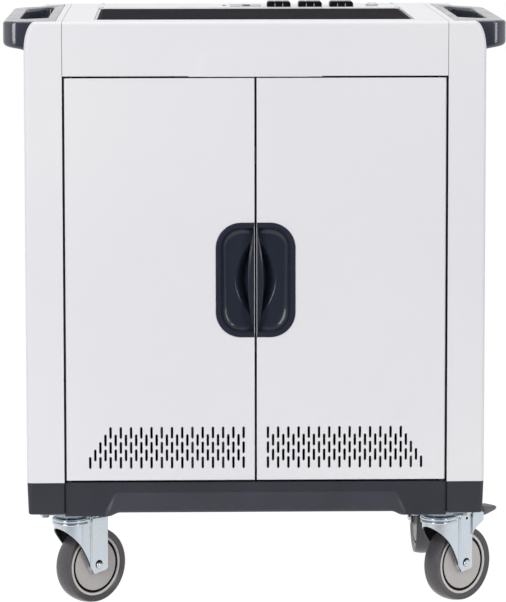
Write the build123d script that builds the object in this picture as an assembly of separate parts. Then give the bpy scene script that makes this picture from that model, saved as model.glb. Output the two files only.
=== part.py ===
from build123d import *
import math
import os

# Laptop charging cart, in millimetres: +X to the right seen from the front, +Y to the rear, +Z up.
# The origin is on the floor under the middle of the cart. Right and left are as seen from the front.

# Overall sizes
body_width = 734.0
body_depth = 600.0
body_top = 954.0
base_height = 48.0
leg_width = 60.0

# Sheet, seams and clearances
wall = 2.0
thin_sheet = 1.5
return_depth = 26.0
edge_radius = 7.0
seam = 0.8
slip = 0.3
running = 0.05
overrun = 20.0
touch = 0.01

# Top cover, mat and console
corner_run = 18.0
corner_drop = 45.0
apron_height = 86.0
tray_depth = 3.0
tray_side_inset = 50.0
tray_front = 67.0
mat_side_gap = 5.0
mat_rear_gap = 52.7
mat_thickness = 3.2
mat_rib_pitch = 11.0
mat_rib_width = 5.0
mat_rib_height = 0.6
console_depth = 139.0
console_rear_inset = 10.0
console_ledge = 10.0
console_edge_radius = 3.0
boss_bottom_width = 176.0
boss_top_width = 150.0
boss_height = 29.0
boss_proud = 1.4
boss_slope = 4.0
boss_drop = 1.0

# Outlets and controls in the console
outlet_width = 40.0
outlet_depth = 42.0
outlet_rise = 9.0
outlet_body = 30.0
outlet_pitch = 53.6
outlet_count = 3
outlet_run = 161.1
outlet_setback = 38.0
outlet_radius = 4.0
outlet_groove = 1.2
outlet_groove_depth = 2.0
socket_slot_length = 6.5
socket_slot_width = 2.4
socket_slot_spread = 12.7
socket_slot_depth = 12.0
module_width = 53.0
module_depth = 70.0
module_spacing = 56.5
module_setback = 64.0
module_rise = 1.2
module_body = 24.0
module_window_width = 11.0
module_window_depth = 34.0
module_port_depth = 8.0
indicator_spacing = 36.5
indicator_length = 20.0
indicator_width = 6.0
button_inset = 45.0
button_setback = 49.0
button_radius = 9.0
button_edge = 1.5
button_rise = 3.5
button_travel = 2.0
button_stem_radius = 4.0
button_stem_length = 12.0
bezel_radius = 11.0
bezel_rise = 2.0
bezel_body = 18.0
console_screw_radius = 3.0
console_screw_rise = 1.0
console_screw_inset = 6.0

# Side handles
handle_reach = 34.0
handle_inset = 10.0
handle_front_inset = 20.0
handle_rear_inset = 30.0
handle_bar_rear_inset = 150.0
handle_height = 48.0
handle_bar_height = 38.0
handle_front_radius = 25.0
handle_rear_radius = 45.0
handle_edge_radius = 3.0
pocket_reach = 10.5
pocket_inset = 34.5
pocket_front_outer_gap = 63.0
pocket_front_inner_gap = 109.0
pocket_rear_inner_gap = 78.0
pocket_rear_outer_gap = 42.0
pocket_depth = 40.0
pocket_corner_radius = 9.0

# Doors
door_thickness = 18.0
door_bottom_gap = 4.0
door_top_gap = 3.0
door_side_gap = 3.5
door_meeting_gap = 3.3
door_edge_radius = 3.0
door_lip = 14.0
door_stile = 12.0
pivot_inset = 5.0
pivot_setback = 6.0
pivot_radius = 2.5
pivot_length = 12.0
pivot_collar_radius = 4.5

# Vents in the front doors
slot_height = 19.5
slot_width = 4.0
slot_pitch_x = 8.2
slot_pitch_z = 24.2
slot_first_x = 19.5
slot_end_margin = 35.0
slot_lowest_rise = 28.5
slot_full_rows = 3
slot_end_sides = 4

# Vents in the rear doors
rear_slot_height = 60.0
rear_slot_width = 5.0
rear_slot_count = 12
rear_slot_rise = 71.0
rear_slot_first_x = 60.0
rear_slot_end_margin = 68.5

# Door pulls
pull_half_width = 62.5
pull_height = 182.0
pull_radius = 40.0
pull_rim = 8.0
pull_rim_proud = 1.5
pull_wall = 2.5
pull_depth = 34.0
pull_meeting_setback = 1.5
pull_seat = 5.5
bowl_floor_inner = 10.0
bowl_floor_outer = 36.0
bowl_floor_height = 104.0
bowl_floor_radius = 22.0
blade_width = 12.0
blade_height = 150.0
blade_thickness = 9.0

# Rear lock
lock_x = 24.0
lock_rise = 18.0
lock_barrel_radius = 9.0
lock_bezel_radius = 13.0
lock_plug_radius = 6.0
key_slot_length = 8.0
key_slot_width = 1.6
key_slot_depth = 3.0
cam_length = 45.0
cam_width = 14.0
cam_thickness = 2.5
cam_gap = 1.0

# Inner steelwork
electrics_depth = 180.0
shelf_front_gap = 20.0
shelf_lip = 14.0
bays_per_tier = 12
rack_end_gap = 2.5
divider_thickness = 2.0
divider_height = 180.0
divider_front_gap = 20.0
divider_rear_gap = 30.0
divider_nose_radius = 60.0
divider_foot = 12.0
grommet_width = 70.0
grommet_height = 30.0
grommet_spread = 200.0
catch_width = 40.0
catch_height = 14.0
catch_depth = 20.0
catch_x = 60.0

# Electrics in the rear compartment
strip_width = 46.0
strip_depth = 40.0
strip_end_gap = 46.0
strip_x = 200.0
strip_socket_margin = 31.5
strip_socket_count = 12
strip_socket_width = 26.0
strip_socket_height = 20.0
strip_socket_depth = 10.0
controller_width = 150.0
controller_depth = 60.0
controller_height = 220.0
controller_rise = 20.0
controller_fins = 8
controller_fin_height = 6.0
inlet_width = 50.0
inlet_height = 30.0
inlet_flange = 3.0
inlet_body_width = 28.0
inlet_body_height = 20.0
inlet_body_depth = 25.0
inlet_cavity_depth = 18.0
inlet_cavity_wall = 2.0
inlet_pin_length = 12.0
inlet_pin_width = 4.0
inlet_pin_thickness = 2.0
inlet_pin_spread = 7.0

# Base
base_wall = 3.0
plinth_setback = 3.0
plinth_foot_drop = 4.0
plinth_arch_rise = 3.0
plinth_foot_length = 70.0
plinth_step_length = 19.0
plinth_step_radius = 6.0
plinth_depth = 12.5
facet_top_drop = 17.0
facet_bottom_rise = 2.0
facet_top_inset = 86.0
facet_bottom_inset = 72.0
cap_taper = 2.0
cap_foot_radius = 3.0
beam_width = 104.0
beam_end_gap = 27.0
beam_drop = 7.0
beam_sheet = 3.0

# Casters
caster_side_inset = 67.0
caster_end_inset = 73.0
caster_offset = 42.0
caster_headings = {"front_left": 40.0, "front_right": 40.0, "rear_left": -86.0, "rear_right": -88.0}
braked_casters = ("front_right", "rear_left")
plate_length = 100.0
plate_width = 85.0
plate_thickness = 3.5
plate_corner = 8.0
bolt_spacing_x = 80.0
bolt_spacing_y = 60.0
bolt_hole_length = 11.0
bolt_radius = 4.0
bolt_head_radius = 6.5
bolt_head_height = 5.0
bolt_head_sides = 6
race_top_radius = 27.0
race_radius = 24.5
race_height = 10.2
race_gap = 0.3
crown_radius = 27.0
bead_radius = 30.5
bead_height = 12.0
bead_edge = 3.0
kingpin_radius = 6.0
kingpin_head_radius = 10.0
kingpin_head_height = 3.0
wheel_radius = 62.5
wheel_width = 32.0
tread_crown = 5.0
tread_bands = 8
tyre_depth = 12.0
hub_rim_width = 26.0
hub_rim_depth = 5.0
hub_groove_width = 4.0
hub_groove_depth = 4.0
hub_dish = 2.0
hub_boss_radius = 13.0
axle_radius = 6.0
axle_head_radius = 7.0
axle_head_height = 4.5
wheel_clearance = 18.0
fork_gap = 2.5
fork_sheet = 3.0
fork_leg_rear = 19.0
fork_leg_fold = 16.0
fork_front_height = 17.0
fork_sweep_bow = 5.0
fork_foot_run = 13.0
fork_foot_drop = 13.0
fork_heel_rise = 4.0
brake_bracket_length = 38.0
brake_bracket_height = 12.0
brake_bracket_root = 28.0
pedal_pivot_run = 31.0
pedal_pivot_drop = 5.0
pedal_pin_radius = 3.0
pedal_arm_thickness = 6.0
pedal_arm_width = 20.0
pedal_reach = 43.0
pedal_tip_rise = 4.0
pedal_cap_start = 15.0
pedal_cap_width = 30.0
pedal_cap_thickness = 8.0
pedal_tube_radius = 5.5

# Heights worked out from the wheel upwards
crown_top_z = 2 * wheel_radius + wheel_clearance + fork_sheet
race_top_z = crown_top_z + race_gap + race_height
beam_bottom = race_top_z + plate_thickness
base_bottom = beam_bottom + beam_drop
base_top = base_bottom + base_height

# Body and top
half_width = body_width / 2
half_depth = body_depth / 2
front_y = -half_depth
seam_x = half_width - leg_width
apron_bottom = body_top - apron_height
cover_half = seam_x - seam
tray_floor = body_top - tray_depth
tray_half = seam_x - tray_side_inset
mat_half = tray_half - mat_side_gap
mat_front = front_y + tray_front + slip
console_rear = half_depth - console_rear_inset
console_front = console_rear - console_depth
mat_depth = console_front - mat_rear_gap - mat_front
button_x = tray_half - button_inset
button_y = console_front + button_setback
outlet_first_x = button_x - outlet_run
outlet_y = console_front + outlet_setback
module_x = outlet_first_x - module_spacing
module_y = console_front + module_setback
indicator_x = module_x - indicator_spacing

# Handles
handle_bottom = body_top - handle_height
handle_outer = half_width + handle_reach
handle_inner = seam_x + handle_inset
handle_front = front_y + handle_front_inset
handle_rear = half_depth - handle_rear_inset
handle_bar_rear = half_depth - handle_bar_rear_inset

# Doors
door_bottom = base_top + door_bottom_gap
door_top = apron_bottom - door_top_gap
door_outer = seam_x - door_side_gap
door_inner = door_meeting_gap / 2
door_back = front_y + door_thickness
pivot_x = door_outer - pivot_inset
pivot_y = front_y + pivot_setback
pull_centre_z = (door_bottom + door_top) / 2
lock_z = pull_centre_z + lock_rise
slot_columns = int((door_outer - slot_end_margin - slot_first_x) // slot_pitch_x) + 1
rear_slot_pitch = (door_outer - rear_slot_end_margin - rear_slot_first_x) / (rear_slot_count - 1)

# Inside
ceiling_bottom = apron_bottom - thin_sheet
inner_wall_x = seam_x - thin_sheet
inner_depth = half_depth - door_thickness - wall
partition_y = half_depth - electrics_depth
inner_middle_z = (base_top + ceiling_bottom) / 2
strip_length = ceiling_bottom - base_top - 2 * strip_end_gap
strip_socket_pitch = (strip_length - strip_socket_margin) / strip_socket_count
controller_z = inner_middle_z + controller_rise

# Base and casters
plinth_low_z = base_bottom - plinth_foot_drop
plinth_mid_z = base_bottom + plinth_arch_rise
plinth_low_x = seam_x - plinth_foot_length
plinth_mid_x = plinth_low_x - plinth_step_length
beam_length = body_depth - 2 * beam_end_gap
caster_x = half_width - caster_side_inset
caster_y = half_depth - caster_end_inset
fork_half_width = wheel_width / 2 + fork_gap + fork_sheet
fork_rear = caster_offset + fork_leg_rear
tyre_inner_radius = wheel_radius - tyre_depth
hub_groove_radius = tyre_inner_radius - hub_rim_depth
pedal_pivot_t = caster_offset + pedal_pivot_run
pedal_pivot_z = crown_top_z - pedal_pivot_drop


def block(x0, x1, y0, y1, z0, z1):
    """A box given by its limits along X, Y and Z."""
    return Pos((x0 + x1) / 2, (y0 + y1) / 2, (z0 + z1) / 2) * Box(x1 - x0, y1 - y0, z1 - z0)


def rod(radius, x, y, z0, z1):
    """An upright cylinder from z0 to z1."""
    return Pos(x, y, (z0 + z1) / 2) * Cylinder(radius, z1 - z0)


def lying_rod(radius, x, z, y0, y1):
    """A cylinder along Y from y0 to y1."""
    return Pos(x, (y0 + y1) / 2, z) * Rot(90, 0, 0) * Cylinder(radius, y1 - y0)


def outline(*points):
    """A flat face with straight sides through the given points."""
    return make_face(Polyline(*points, close=True))


def slot_outline(length, width):
    """An upright slot whose round ends are drawn with slot_end_sides straight sides each."""
    straight, radius = (length - width) / 2, width / 2
    turns = [math.pi * i / slot_end_sides for i in range(slot_end_sides + 1)]
    top = [(radius * math.cos(a), straight + radius * math.sin(a)) for a in turns]
    return outline(*top, *[(-x, -z) for x, z in top])


def save(name, *pieces):
    """Writes one node, which holds one solid or a group of separate solids."""
    solids = [s for piece in pieces for s in piece.solids()]
    export_step(solids[0] if len(solids) == 1 else Compound(children=solids), f"parts/{name}.step")


def save_pair(name, right):
    """Writes a right-hand piece and its mirror image on the left."""
    save(f"{name}_right", right)
    save(f"{name}_left", mirror(right, about=Plane.YZ))


def outer_edges(solid, open_x, open_z):
    """The edges round the front and rear ends of a panel, without those on its open sides."""
    ends = solid.faces().sort_by(Axis.Y)
    found = [e for face in (ends[0], ends[-1]) for e in face.edges()]
    return [e for e in found if e.center().X > open_x + touch and e.center().Z > open_z + touch]


# Body shell


def side_block(inset):
    """The full form of the right side panel, drawn in by inset on every closed side."""
    x0, x1 = seam_x + inset, half_width - inset
    z0, z1 = base_top - inset, body_top - inset
    run, drop = corner_run - inset, corner_drop - inset
    corner = EllipticalCenterArc((x1 - run, z1 - drop), run, drop, start_angle=0, arc_size=90)
    lines = Line((x0, z0), (x1, z0)) + Line((x1, z0), (x1, z1 - drop)) + corner
    lines += Line((x1 - run, z1), (x0, z1)) + Line((x0, z1), (x0, z0))
    solid = extrude(Plane.XZ * make_face(lines), amount=half_depth - inset, both=True)
    return fillet(outer_edges(solid, x0, z0), edge_radius - inset)


def handle_outline(gap):
    """The handle's outline seen from above, grown by gap: its rear edge slants inwards."""
    x0, x1 = handle_inner - gap, handle_outer + gap
    front, rear = (x1, handle_front - gap), (x1, handle_bar_rear + gap)
    face = outline((x0, handle_front - gap), front, rear, (x0, handle_rear + gap))
    for corner, radius in ((front, handle_front_radius), (rear, handle_rear_radius)):
        here = face.vertices().sort_by_distance((*corner, 0))[0]
        face = fillet(here, radius + gap)
    return face


def side_panel():
    """A white shell with rolled returns, an elliptical top corner and a seat for the handle."""
    window = block(
        seam_x - overrun, seam_x + overrun,
        -half_depth + return_depth, half_depth - return_depth,
        base_top - overrun, apron_bottom,
    )
    seat = Pos(0, 0, handle_bottom) * extrude(handle_outline(slip), amount=handle_height + overrun)
    return side_block(0) - side_block(wall) - window - seat


def cover_profile(inset, top_drop):
    """The top cover's section along Y, drawn in by inset and lowered at the top by top_drop."""
    depth = half_depth - inset
    z0, z1 = apron_bottom + inset, body_top - inset - top_drop
    face = outline((-depth, z0), (depth, z0), (depth, z1), (-depth, z1))
    top = [v for v in face.vertices() if v.Y > (z0 + z1) / 2]
    return Plane.YZ * fillet(top, edge_radius - inset)


def apron_boss():
    """The shallow pressed boss in the middle of the apron, with sloping ends and top."""
    z0, z1 = apron_bottom - boss_drop, apron_bottom + boss_height
    half_low, half_high = boss_bottom_width / 2, boss_top_width / 2
    base = Plane.XZ.offset(half_depth - wall / 2)
    crest = Plane.XZ.offset(half_depth + boss_proud)
    wide = base * outline((-half_low, z0), (half_low, z0), (half_high, z1), (-half_high, z1))
    slope = boss_slope
    narrow = crest * outline(
        (slope - half_low, z0), (half_low - slope, z0),
        (half_high - slope, z1 - slope), (slope - half_high, z1 - slope),
    )
    return loft([wide, narrow])


def top_cover():
    """A rolled cover with front and rear aprons and a tray that holds the mat and the console."""
    shell = extrude(cover_profile(0, 0), amount=cover_half, both=True)
    shell -= extrude(cover_profile(wall, tray_depth), amount=cover_half + overrun, both=True)
    inner = half_depth - return_depth - seam
    shell -= block(-seam_x, seam_x, -inner, inner, apron_bottom - overrun, apron_bottom + wall + touch)
    tray = block(
        -tray_half, tray_half, front_y + tray_front, console_rear + slip, tray_floor, body_top + overrun
    )
    hole = block(
        console_ledge - tray_half, tray_half - console_ledge,
        console_front + console_ledge, console_rear - console_ledge,
        tray_floor - overrun, body_top,
    )
    return shell + apron_boss() - tray - hole


def top_mat():
    """A rubber mat with low ribs that run from left to right."""
    y0, top = mat_front, tray_floor + mat_thickness
    mat = block(-mat_half, mat_half, y0, y0 + mat_depth, tray_floor, top)
    count = int(mat_depth // mat_rib_pitch)
    rib_half = mat_half - mat_rib_width
    ribs = block(-rib_half, rib_half, y0, y0 + mat_rib_width, tray_floor, top + mat_rib_height)
    first = (mat_depth - (count - 1) * mat_rib_pitch - mat_rib_width) / 2
    for i in range(count):
        mat += Pos(0, first + i * mat_rib_pitch, 0) * ribs
    return mat


# Console


def outlet_places():
    return [outlet_first_x + i * outlet_pitch for i in range(outlet_count)]


def console_panel():
    """A plate on the tray's ledge, pierced for the outlets, module, indicator, button and screws."""
    half = tray_half - slip
    plate = block(-half, half, console_front, console_rear, tray_floor, body_top)
    plate = fillet(plate.edges().filter_by(Axis.Z), console_edge_radius)
    for x in outlet_places():
        plate -= Pos(x, outlet_y, body_top) * Box(outlet_width, outlet_depth, outlet_body)
    plate -= Pos(module_x, module_y, body_top) * Box(module_width, module_depth, outlet_body)
    plate -= rod(bezel_radius, button_x, button_y, tray_floor - overrun, body_top + overrun)
    lens = Pos(indicator_x, module_y, tray_floor) * SlotOverall(indicator_length, indicator_width, 90)
    return plate - extrude(lens, amount=overrun, both=True)


def outlet_blocks():
    """Three raised outlets, each with rounded top edges, two grooves and a three-slot socket."""
    made = []
    for x in outlet_places():
        body = block(
            x - outlet_width / 2, x + outlet_width / 2,
            outlet_y - outlet_depth / 2, outlet_y + outlet_depth / 2,
            tray_floor - outlet_body, body_top + outlet_rise,
        )
        sides = body.faces().sort_by(Axis.Z)[-1].edges().filter_by(Axis.Y)
        body = fillet(sides, outlet_radius)
        for side in (-1, 1):
            groove = Pos(x + side * outlet_width / 6, outlet_y, body_top + outlet_rise)
            body -= groove * Box(outlet_groove, outlet_depth + overrun, 2 * outlet_groove_depth)
        for dx, dy in ((-1, 1), (1, 1), (0, -1)):
            slot_x, slot_y = x + dx * socket_slot_spread / 2, outlet_y + dy * socket_slot_length
            slot = Box(socket_slot_width, socket_slot_length, 2 * socket_slot_depth)
            body -= Pos(slot_x, slot_y, body_top + outlet_rise) * slot
        made.append(body)
    return made


def control_module():
    """A grey control plate with a dark window and the box below it."""
    top = body_top + module_rise
    half_x, half_y = module_width / 2, module_depth / 2
    body = Pos(module_x, module_y, 0) * block(-half_x, half_x, -half_y, half_y, tray_floor - module_body, top)
    window = Box(module_window_width, module_window_depth, 2 * module_port_depth)
    body = fillet(body.edges().filter_by(Axis.Z), console_edge_radius)
    return body - Pos(module_x, module_y, top) * window


def indicator_lens():
    """A small oval lens for the charging light."""
    face = Pos(indicator_x, module_y, tray_floor) * SlotOverall(indicator_length, indicator_width, 90)
    return extrude(face, amount=tray_depth + module_rise)


def button_bezel():
    """A round bezel on the console with a guide for the button's stem."""
    bezel = rod(bezel_radius, button_x, button_y, tray_floor - bezel_body, body_top + bezel_rise)
    bezel -= rod(button_radius + slip, button_x, button_y, tray_floor, body_top + overrun)
    return bezel - rod(button_stem_radius + running, button_x, button_y, tray_floor - overrun, body_top)


def power_button():
    """A round push button with a bevelled cap on a stem."""
    bottom = tray_floor + button_travel + slip
    cap = rod(button_radius, button_x, button_y, bottom, body_top + bezel_rise + button_rise)
    cap = chamfer(cap.edges().sort_by(Axis.Z)[-1], button_edge)
    return cap + rod(button_stem_radius, button_x, button_y, bottom - button_stem_length, bottom)


def console_screws():
    """Four pan-head screws at the console's corners."""
    made = []
    x = tray_half - console_screw_inset
    for sx in (-1, 1):
        for y in (console_front + console_screw_inset, console_rear - console_screw_inset):
            made.append(rod(console_screw_radius, sx * x, y, body_top, body_top + console_screw_rise))
    return made


# Handles


def handle():
    """A moulded handle: a sloping underside, rounded corners and a blind pocket for the fingers."""
    section = outline(
        (handle_inner, handle_bottom), (half_width, handle_bottom),
        (handle_outer, body_top - handle_bar_height), (handle_outer, body_top), (handle_inner, body_top),
    )
    bar = extrude(Plane.XZ * section, amount=half_depth, both=True)
    plan = Pos(0, 0, handle_bottom) * extrude(handle_outline(0), amount=handle_height)
    body = bar & plan
    top = body.faces().sort_by(Axis.Z)[-1]
    rim = [e for e in top.edges() if e.center().X > handle_inner + touch]
    body = fillet(rim, handle_edge_radius)
    outer, inner = half_width + pocket_reach, half_width - pocket_inset
    mouth = outline(
        (outer, handle_front + pocket_front_outer_gap), (outer, handle_bar_rear - pocket_rear_outer_gap),
        (inner, handle_rear - pocket_rear_inner_gap), (inner, handle_front + pocket_front_inner_gap),
    )
    mouth = fillet(mouth.vertices(), pocket_corner_radius)
    return body - Pos(0, 0, body_top - pocket_depth) * extrude(mouth, amount=handle_height)


# Doors


def door_blank():
    """A folded right-hand door: front skin, returns, a lip round the back and a stile for the pivots."""
    leaf = block(door_inner, door_outer, front_y, door_back, door_bottom, door_top)
    leaf = fillet(leaf.edges().filter_by(Axis.Z).sort_by(Axis.X)[-2:], door_edge_radius)
    leaf -= block(
        door_inner + wall, door_outer - door_stile, front_y + wall, door_back - wall,
        door_bottom + wall, door_top - wall,
    )
    leaf -= block(
        door_inner + door_lip, door_outer - door_stile - door_lip, front_y + wall, door_back + overrun,
        door_bottom + door_lip, door_top - door_lip,
    )
    bore = pivot_radius + running
    leaf -= rod(bore, pivot_x, pivot_y, door_bottom - touch, door_bottom + pivot_length)
    return leaf - rod(bore, pivot_x, pivot_y, door_top - pivot_length, door_top + touch)


def vent_slots():
    """Round-ended slots in staggered columns, cut back in steps at the outer end."""
    slots = []
    for column in range(slot_columns):
        from_end = slot_columns - 1 - column
        offset = column % 2
        full = slot_full_rows - offset
        rows = min(full, from_end // 2 + 1)
        x = slot_first_x + column * slot_pitch_x
        for row in range(rows):
            slots.append((x, door_bottom + slot_lowest_rise + (row + offset / 2) * slot_pitch_z))
    face = slot_outline(slot_height, slot_width)
    cut = extrude(Plane.XZ.offset(half_depth + overrun) * face, amount=-overrun - wall - touch)
    return [Pos(x, 0, z) * cut for x, z in slots]


def pull_outline(inset, depth):
    """Half of the pull's rounded rectangle, drawn in by inset, on the plane at depth behind the front."""
    x1, half = pull_half_width - inset, pull_height / 2 - inset
    x0 = door_inner + (pull_meeting_setback if inset else 0)
    face = outline((x0, -half), (x1, -half), (x1, half), (x0, half))
    face = fillet(face.vertices().sort_by(Axis.X)[-2:], pull_radius - inset)
    return Plane.XZ.offset(half_depth - depth) * Pos(0, pull_centre_z) * face


def pull_cut():
    """The opening in the door that the pull's cup drops through."""
    size = pull_seat - slip
    x1, half = pull_half_width - size, pull_height / 2 - size
    face = outline((-overrun, -half), (x1, -half), (x1, half), (-overrun, half))
    face = fillet(face.vertices().sort_by(Axis.X)[-2:], pull_radius - size)
    face = Plane.XZ.offset(half_depth + overrun) * Pos(0, pull_centre_z) * face
    return extrude(face, amount=-2 * overrun - wall)


def front_door():
    """The right front door with its vents and the opening for the pull."""
    return door_blank() - vent_slots() - pull_cut()


def floor_outline(grow, depth):
    """The floor of the pull's bowl, near the meeting edge."""
    x0, x1 = bowl_floor_inner - grow, bowl_floor_outer + grow
    half = bowl_floor_height / 2 + grow
    face = outline((x0, -half), (x1, -half), (x1, half), (x0, half))
    face = fillet(face.vertices().sort_by(Axis.X)[-2:], bowl_floor_radius + grow)
    return Plane.XZ.offset(half_depth - depth) * Pos(0, pull_centre_z) * face


def pull_blade():
    """The grip along the meeting edge: half a lens in front view, standing over the bowl."""
    half = blade_height / 2
    x0 = door_inner
    bow = ThreePointArc((x0, -half), (x0 + blade_width, 0), (x0, half))
    lens = make_face(bow + Line((x0, half), (x0, -half)))
    face = Plane.XZ.offset(half_depth + pull_rim_proud) * Pos(0, pull_centre_z) * lens
    return extrude(face, amount=-blade_thickness)


def door_pull():
    """A moulded pull: rim, lofted cup that is deepest by the meeting edge, and an overhanging grip."""
    rim = extrude(pull_outline(0, -pull_rim_proud), amount=-pull_rim_proud)
    cup_floor = floor_outline(pull_wall, pull_depth)
    cup = loft([pull_outline(pull_seat, 0), cup_floor])
    bowl = loft([pull_outline(pull_rim, -pull_rim_proud - touch), floor_outline(0, pull_depth - pull_wall)])
    edge = block(
        0, door_inner + pull_meeting_setback + pull_wall, front_y - overrun, half_depth,
        pull_centre_z - pull_height / 2, pull_centre_z + pull_height / 2,
    )
    return rim + cup - (bowl - edge) + pull_blade()


def rear_door():
    """A right rear door, plain but for its long vents."""
    leaf = door_blank()
    face = slot_outline(rear_slot_height, rear_slot_width)
    cut = extrude(Plane.XZ.offset(half_depth + overrun) * face, amount=-overrun - wall - touch)
    for i in range(rear_slot_count):
        leaf -= Pos(rear_slot_first_x + i * rear_slot_pitch, 0, door_bottom + rear_slot_rise) * cut
    return mirror(leaf, about=Plane.XZ)


def locking_door():
    """The right rear door, with the hole for the lock."""
    inner, outer = half_depth - door_thickness - overrun, half_depth + overrun
    return rear_door() - lying_rod(lock_barrel_radius + running, lock_x, lock_z, inner, outer)


def lock_barrel():
    """The lock's bezel and barrel, let into the rear door."""
    inner, bore = half_depth - door_thickness, lock_plug_radius + running
    barrel = lying_rod(lock_barrel_radius, lock_x, lock_z, inner, half_depth)
    barrel += lying_rod(lock_bezel_radius, lock_x, lock_z, half_depth, half_depth + pull_rim_proud)
    return barrel - lying_rod(bore, lock_x, lock_z, inner - overrun, half_depth + overrun)


def lock_cam():
    """The turning plug with its key slot, and the cam that swings behind the other door."""
    inner = half_depth - door_thickness
    back = inner - cam_gap - cam_thickness
    plug = lying_rod(lock_plug_radius, lock_x, lock_z, back, half_depth + pull_rim_proud)
    slot = Pos(lock_x, half_depth + pull_rim_proud, lock_z)
    plug -= slot * Box(key_slot_width, 2 * key_slot_depth, key_slot_length)
    face = SlotCenterPoint((0, cam_length / 2 - cam_width / 2), (0, cam_length - cam_width), cam_width)
    arm = Plane.XZ.offset(cam_gap - inner) * Pos(lock_x, lock_z) * face
    return plug + extrude(arm, amount=cam_thickness)


def hinge_pins(side_y):
    """Four fixed pivot pins with collars, two for each door of a pair; side_y is -1 for the front."""
    y = -side_y * pivot_y
    pins = []
    for x in (-pivot_x, pivot_x):
        low = rod(pivot_radius, x, y, base_top, door_bottom + pivot_length - slip)
        low += rod(pivot_collar_radius, x, y, base_top, door_bottom - slip)
        high = rod(pivot_radius, x, y, door_top - pivot_length + slip, apron_bottom)
        high += rod(pivot_collar_radius, x, y, door_top + slip, apron_bottom)
        pins += [low, high]
    return pins


# Inner steelwork


def inner_wall():
    """A flat steel wall that closes the right side panel's back."""
    return block(inner_wall_x, seam_x, -inner_depth, inner_depth, base_top, ceiling_bottom)


def ceiling_panel():
    """A steel sheet that carries the top cover's returns."""
    return block(-seam_x, seam_x, -inner_depth, inner_depth, ceiling_bottom, apron_bottom)


def floor_pan():
    """The steel floor with its edges inside the base's lip."""
    x = half_width - base_wall - slip
    y = half_depth - plinth_setback - base_wall - slip
    return block(-x, x, -y, y, base_top - wall, base_top)


def partition():
    """The sheet between the laptops and the electrics, with slots for the leads."""
    sheet = block(
        -inner_wall_x, inner_wall_x, partition_y, partition_y + thin_sheet, base_top, ceiling_bottom
    )
    tiers = ((base_top + inner_middle_z) / 2, (inner_middle_z + ceiling_bottom) / 2)
    slot = Plane.XZ * SlotOverall(grommet_width, grommet_height)
    cut = Pos(0, partition_y, 0) * extrude(slot, amount=overrun, both=True)
    for x in (-grommet_spread, 0, grommet_spread):
        for z in tiers:
            sheet -= Pos(x, 0, z) * cut
    return sheet


def mid_shelf():
    """The shelf between the tiers, with a turned-down front lip."""
    y0 = -inner_depth + shelf_front_gap
    x, z = inner_wall_x, inner_middle_z
    shelf = block(-x, x, y0, partition_y, z - thin_sheet, z)
    return shelf + block(-x, x, y0, y0 + thin_sheet, z - shelf_lip, z)


def dividers(floor_z):
    """A row of upright plates with rounded noses, one between each two laptops."""
    pitch = 2 * (inner_wall_x - rack_end_gap) / bays_per_tier
    y0 = -inner_depth + shelf_front_gap + divider_front_gap
    depth = partition_y - divider_rear_gap - y0
    face = outline((0, 0), (depth, 0), (depth, divider_height), (0, divider_height))
    nose = face.vertices().group_by(Axis.Y)[-1].sort_by(Axis.X)[0]
    plate = extrude(Plane.YZ * fillet(nose, divider_nose_radius), amount=divider_thickness / 2, both=True)
    foot = block(-divider_foot / 2, divider_foot / 2, 0, depth, 0, divider_thickness)
    plate = Pos(0, y0, floor_z) * (plate + foot)
    return [Pos((i - bays_per_tier / 2) * pitch, 0, 0) * plate for i in range(1, bays_per_tier)]


def door_catches():
    """Two magnetic catches under the ceiling, one for each front door."""
    made = []
    for x in (-catch_x, catch_x):
        catch = block(
            x - catch_width / 2, x + catch_width / 2, door_back + slip, door_back + slip + catch_depth,
            ceiling_bottom - catch_height, ceiling_bottom,
        )
        made.append(catch)
    return made


# Electrics


def power_strips():
    """Two upright strips of outlets on the back of the partition."""
    y0 = partition_y + thin_sheet
    made = []
    for x in (-strip_x, strip_x):
        strip = block(
            x - strip_width / 2, x + strip_width / 2, y0, y0 + strip_depth,
            inner_middle_z - strip_length / 2, inner_middle_z + strip_length / 2,
        )
        socket = Pos(x, y0 + strip_depth, inner_middle_z) * Box(
            strip_socket_width, 2 * strip_socket_depth, strip_socket_height
        )
        for i in range(strip_socket_count):
            strip -= Pos(0, 0, (i - (strip_socket_count - 1) / 2) * strip_socket_pitch) * socket
        made.append(strip)
    return made


def charge_controller():
    """The timer and switching box, with cooling fins on its face."""
    y0 = partition_y + thin_sheet
    box = block(
        -controller_width / 2, controller_width / 2, y0, y0 + controller_depth,
        controller_z - controller_height / 2, controller_z + controller_height / 2,
    )
    pitch = controller_width / controller_fins
    groove = block(
        -pitch / 4, pitch / 4, y0 + controller_depth - controller_fin_height, y0 + controller_depth + overrun,
        controller_z - controller_height / 2 - overrun, controller_z + controller_height / 2 + overrun,
    )
    for i in range(1, controller_fins):
        box -= Pos((i - controller_fins / 2) * pitch, 0, 0) * groove
    return box


def inlet_place():
    return Pos(0, half_depth - plinth_setback, (base_top - wall + plinth_mid_z) / 2)


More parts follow.
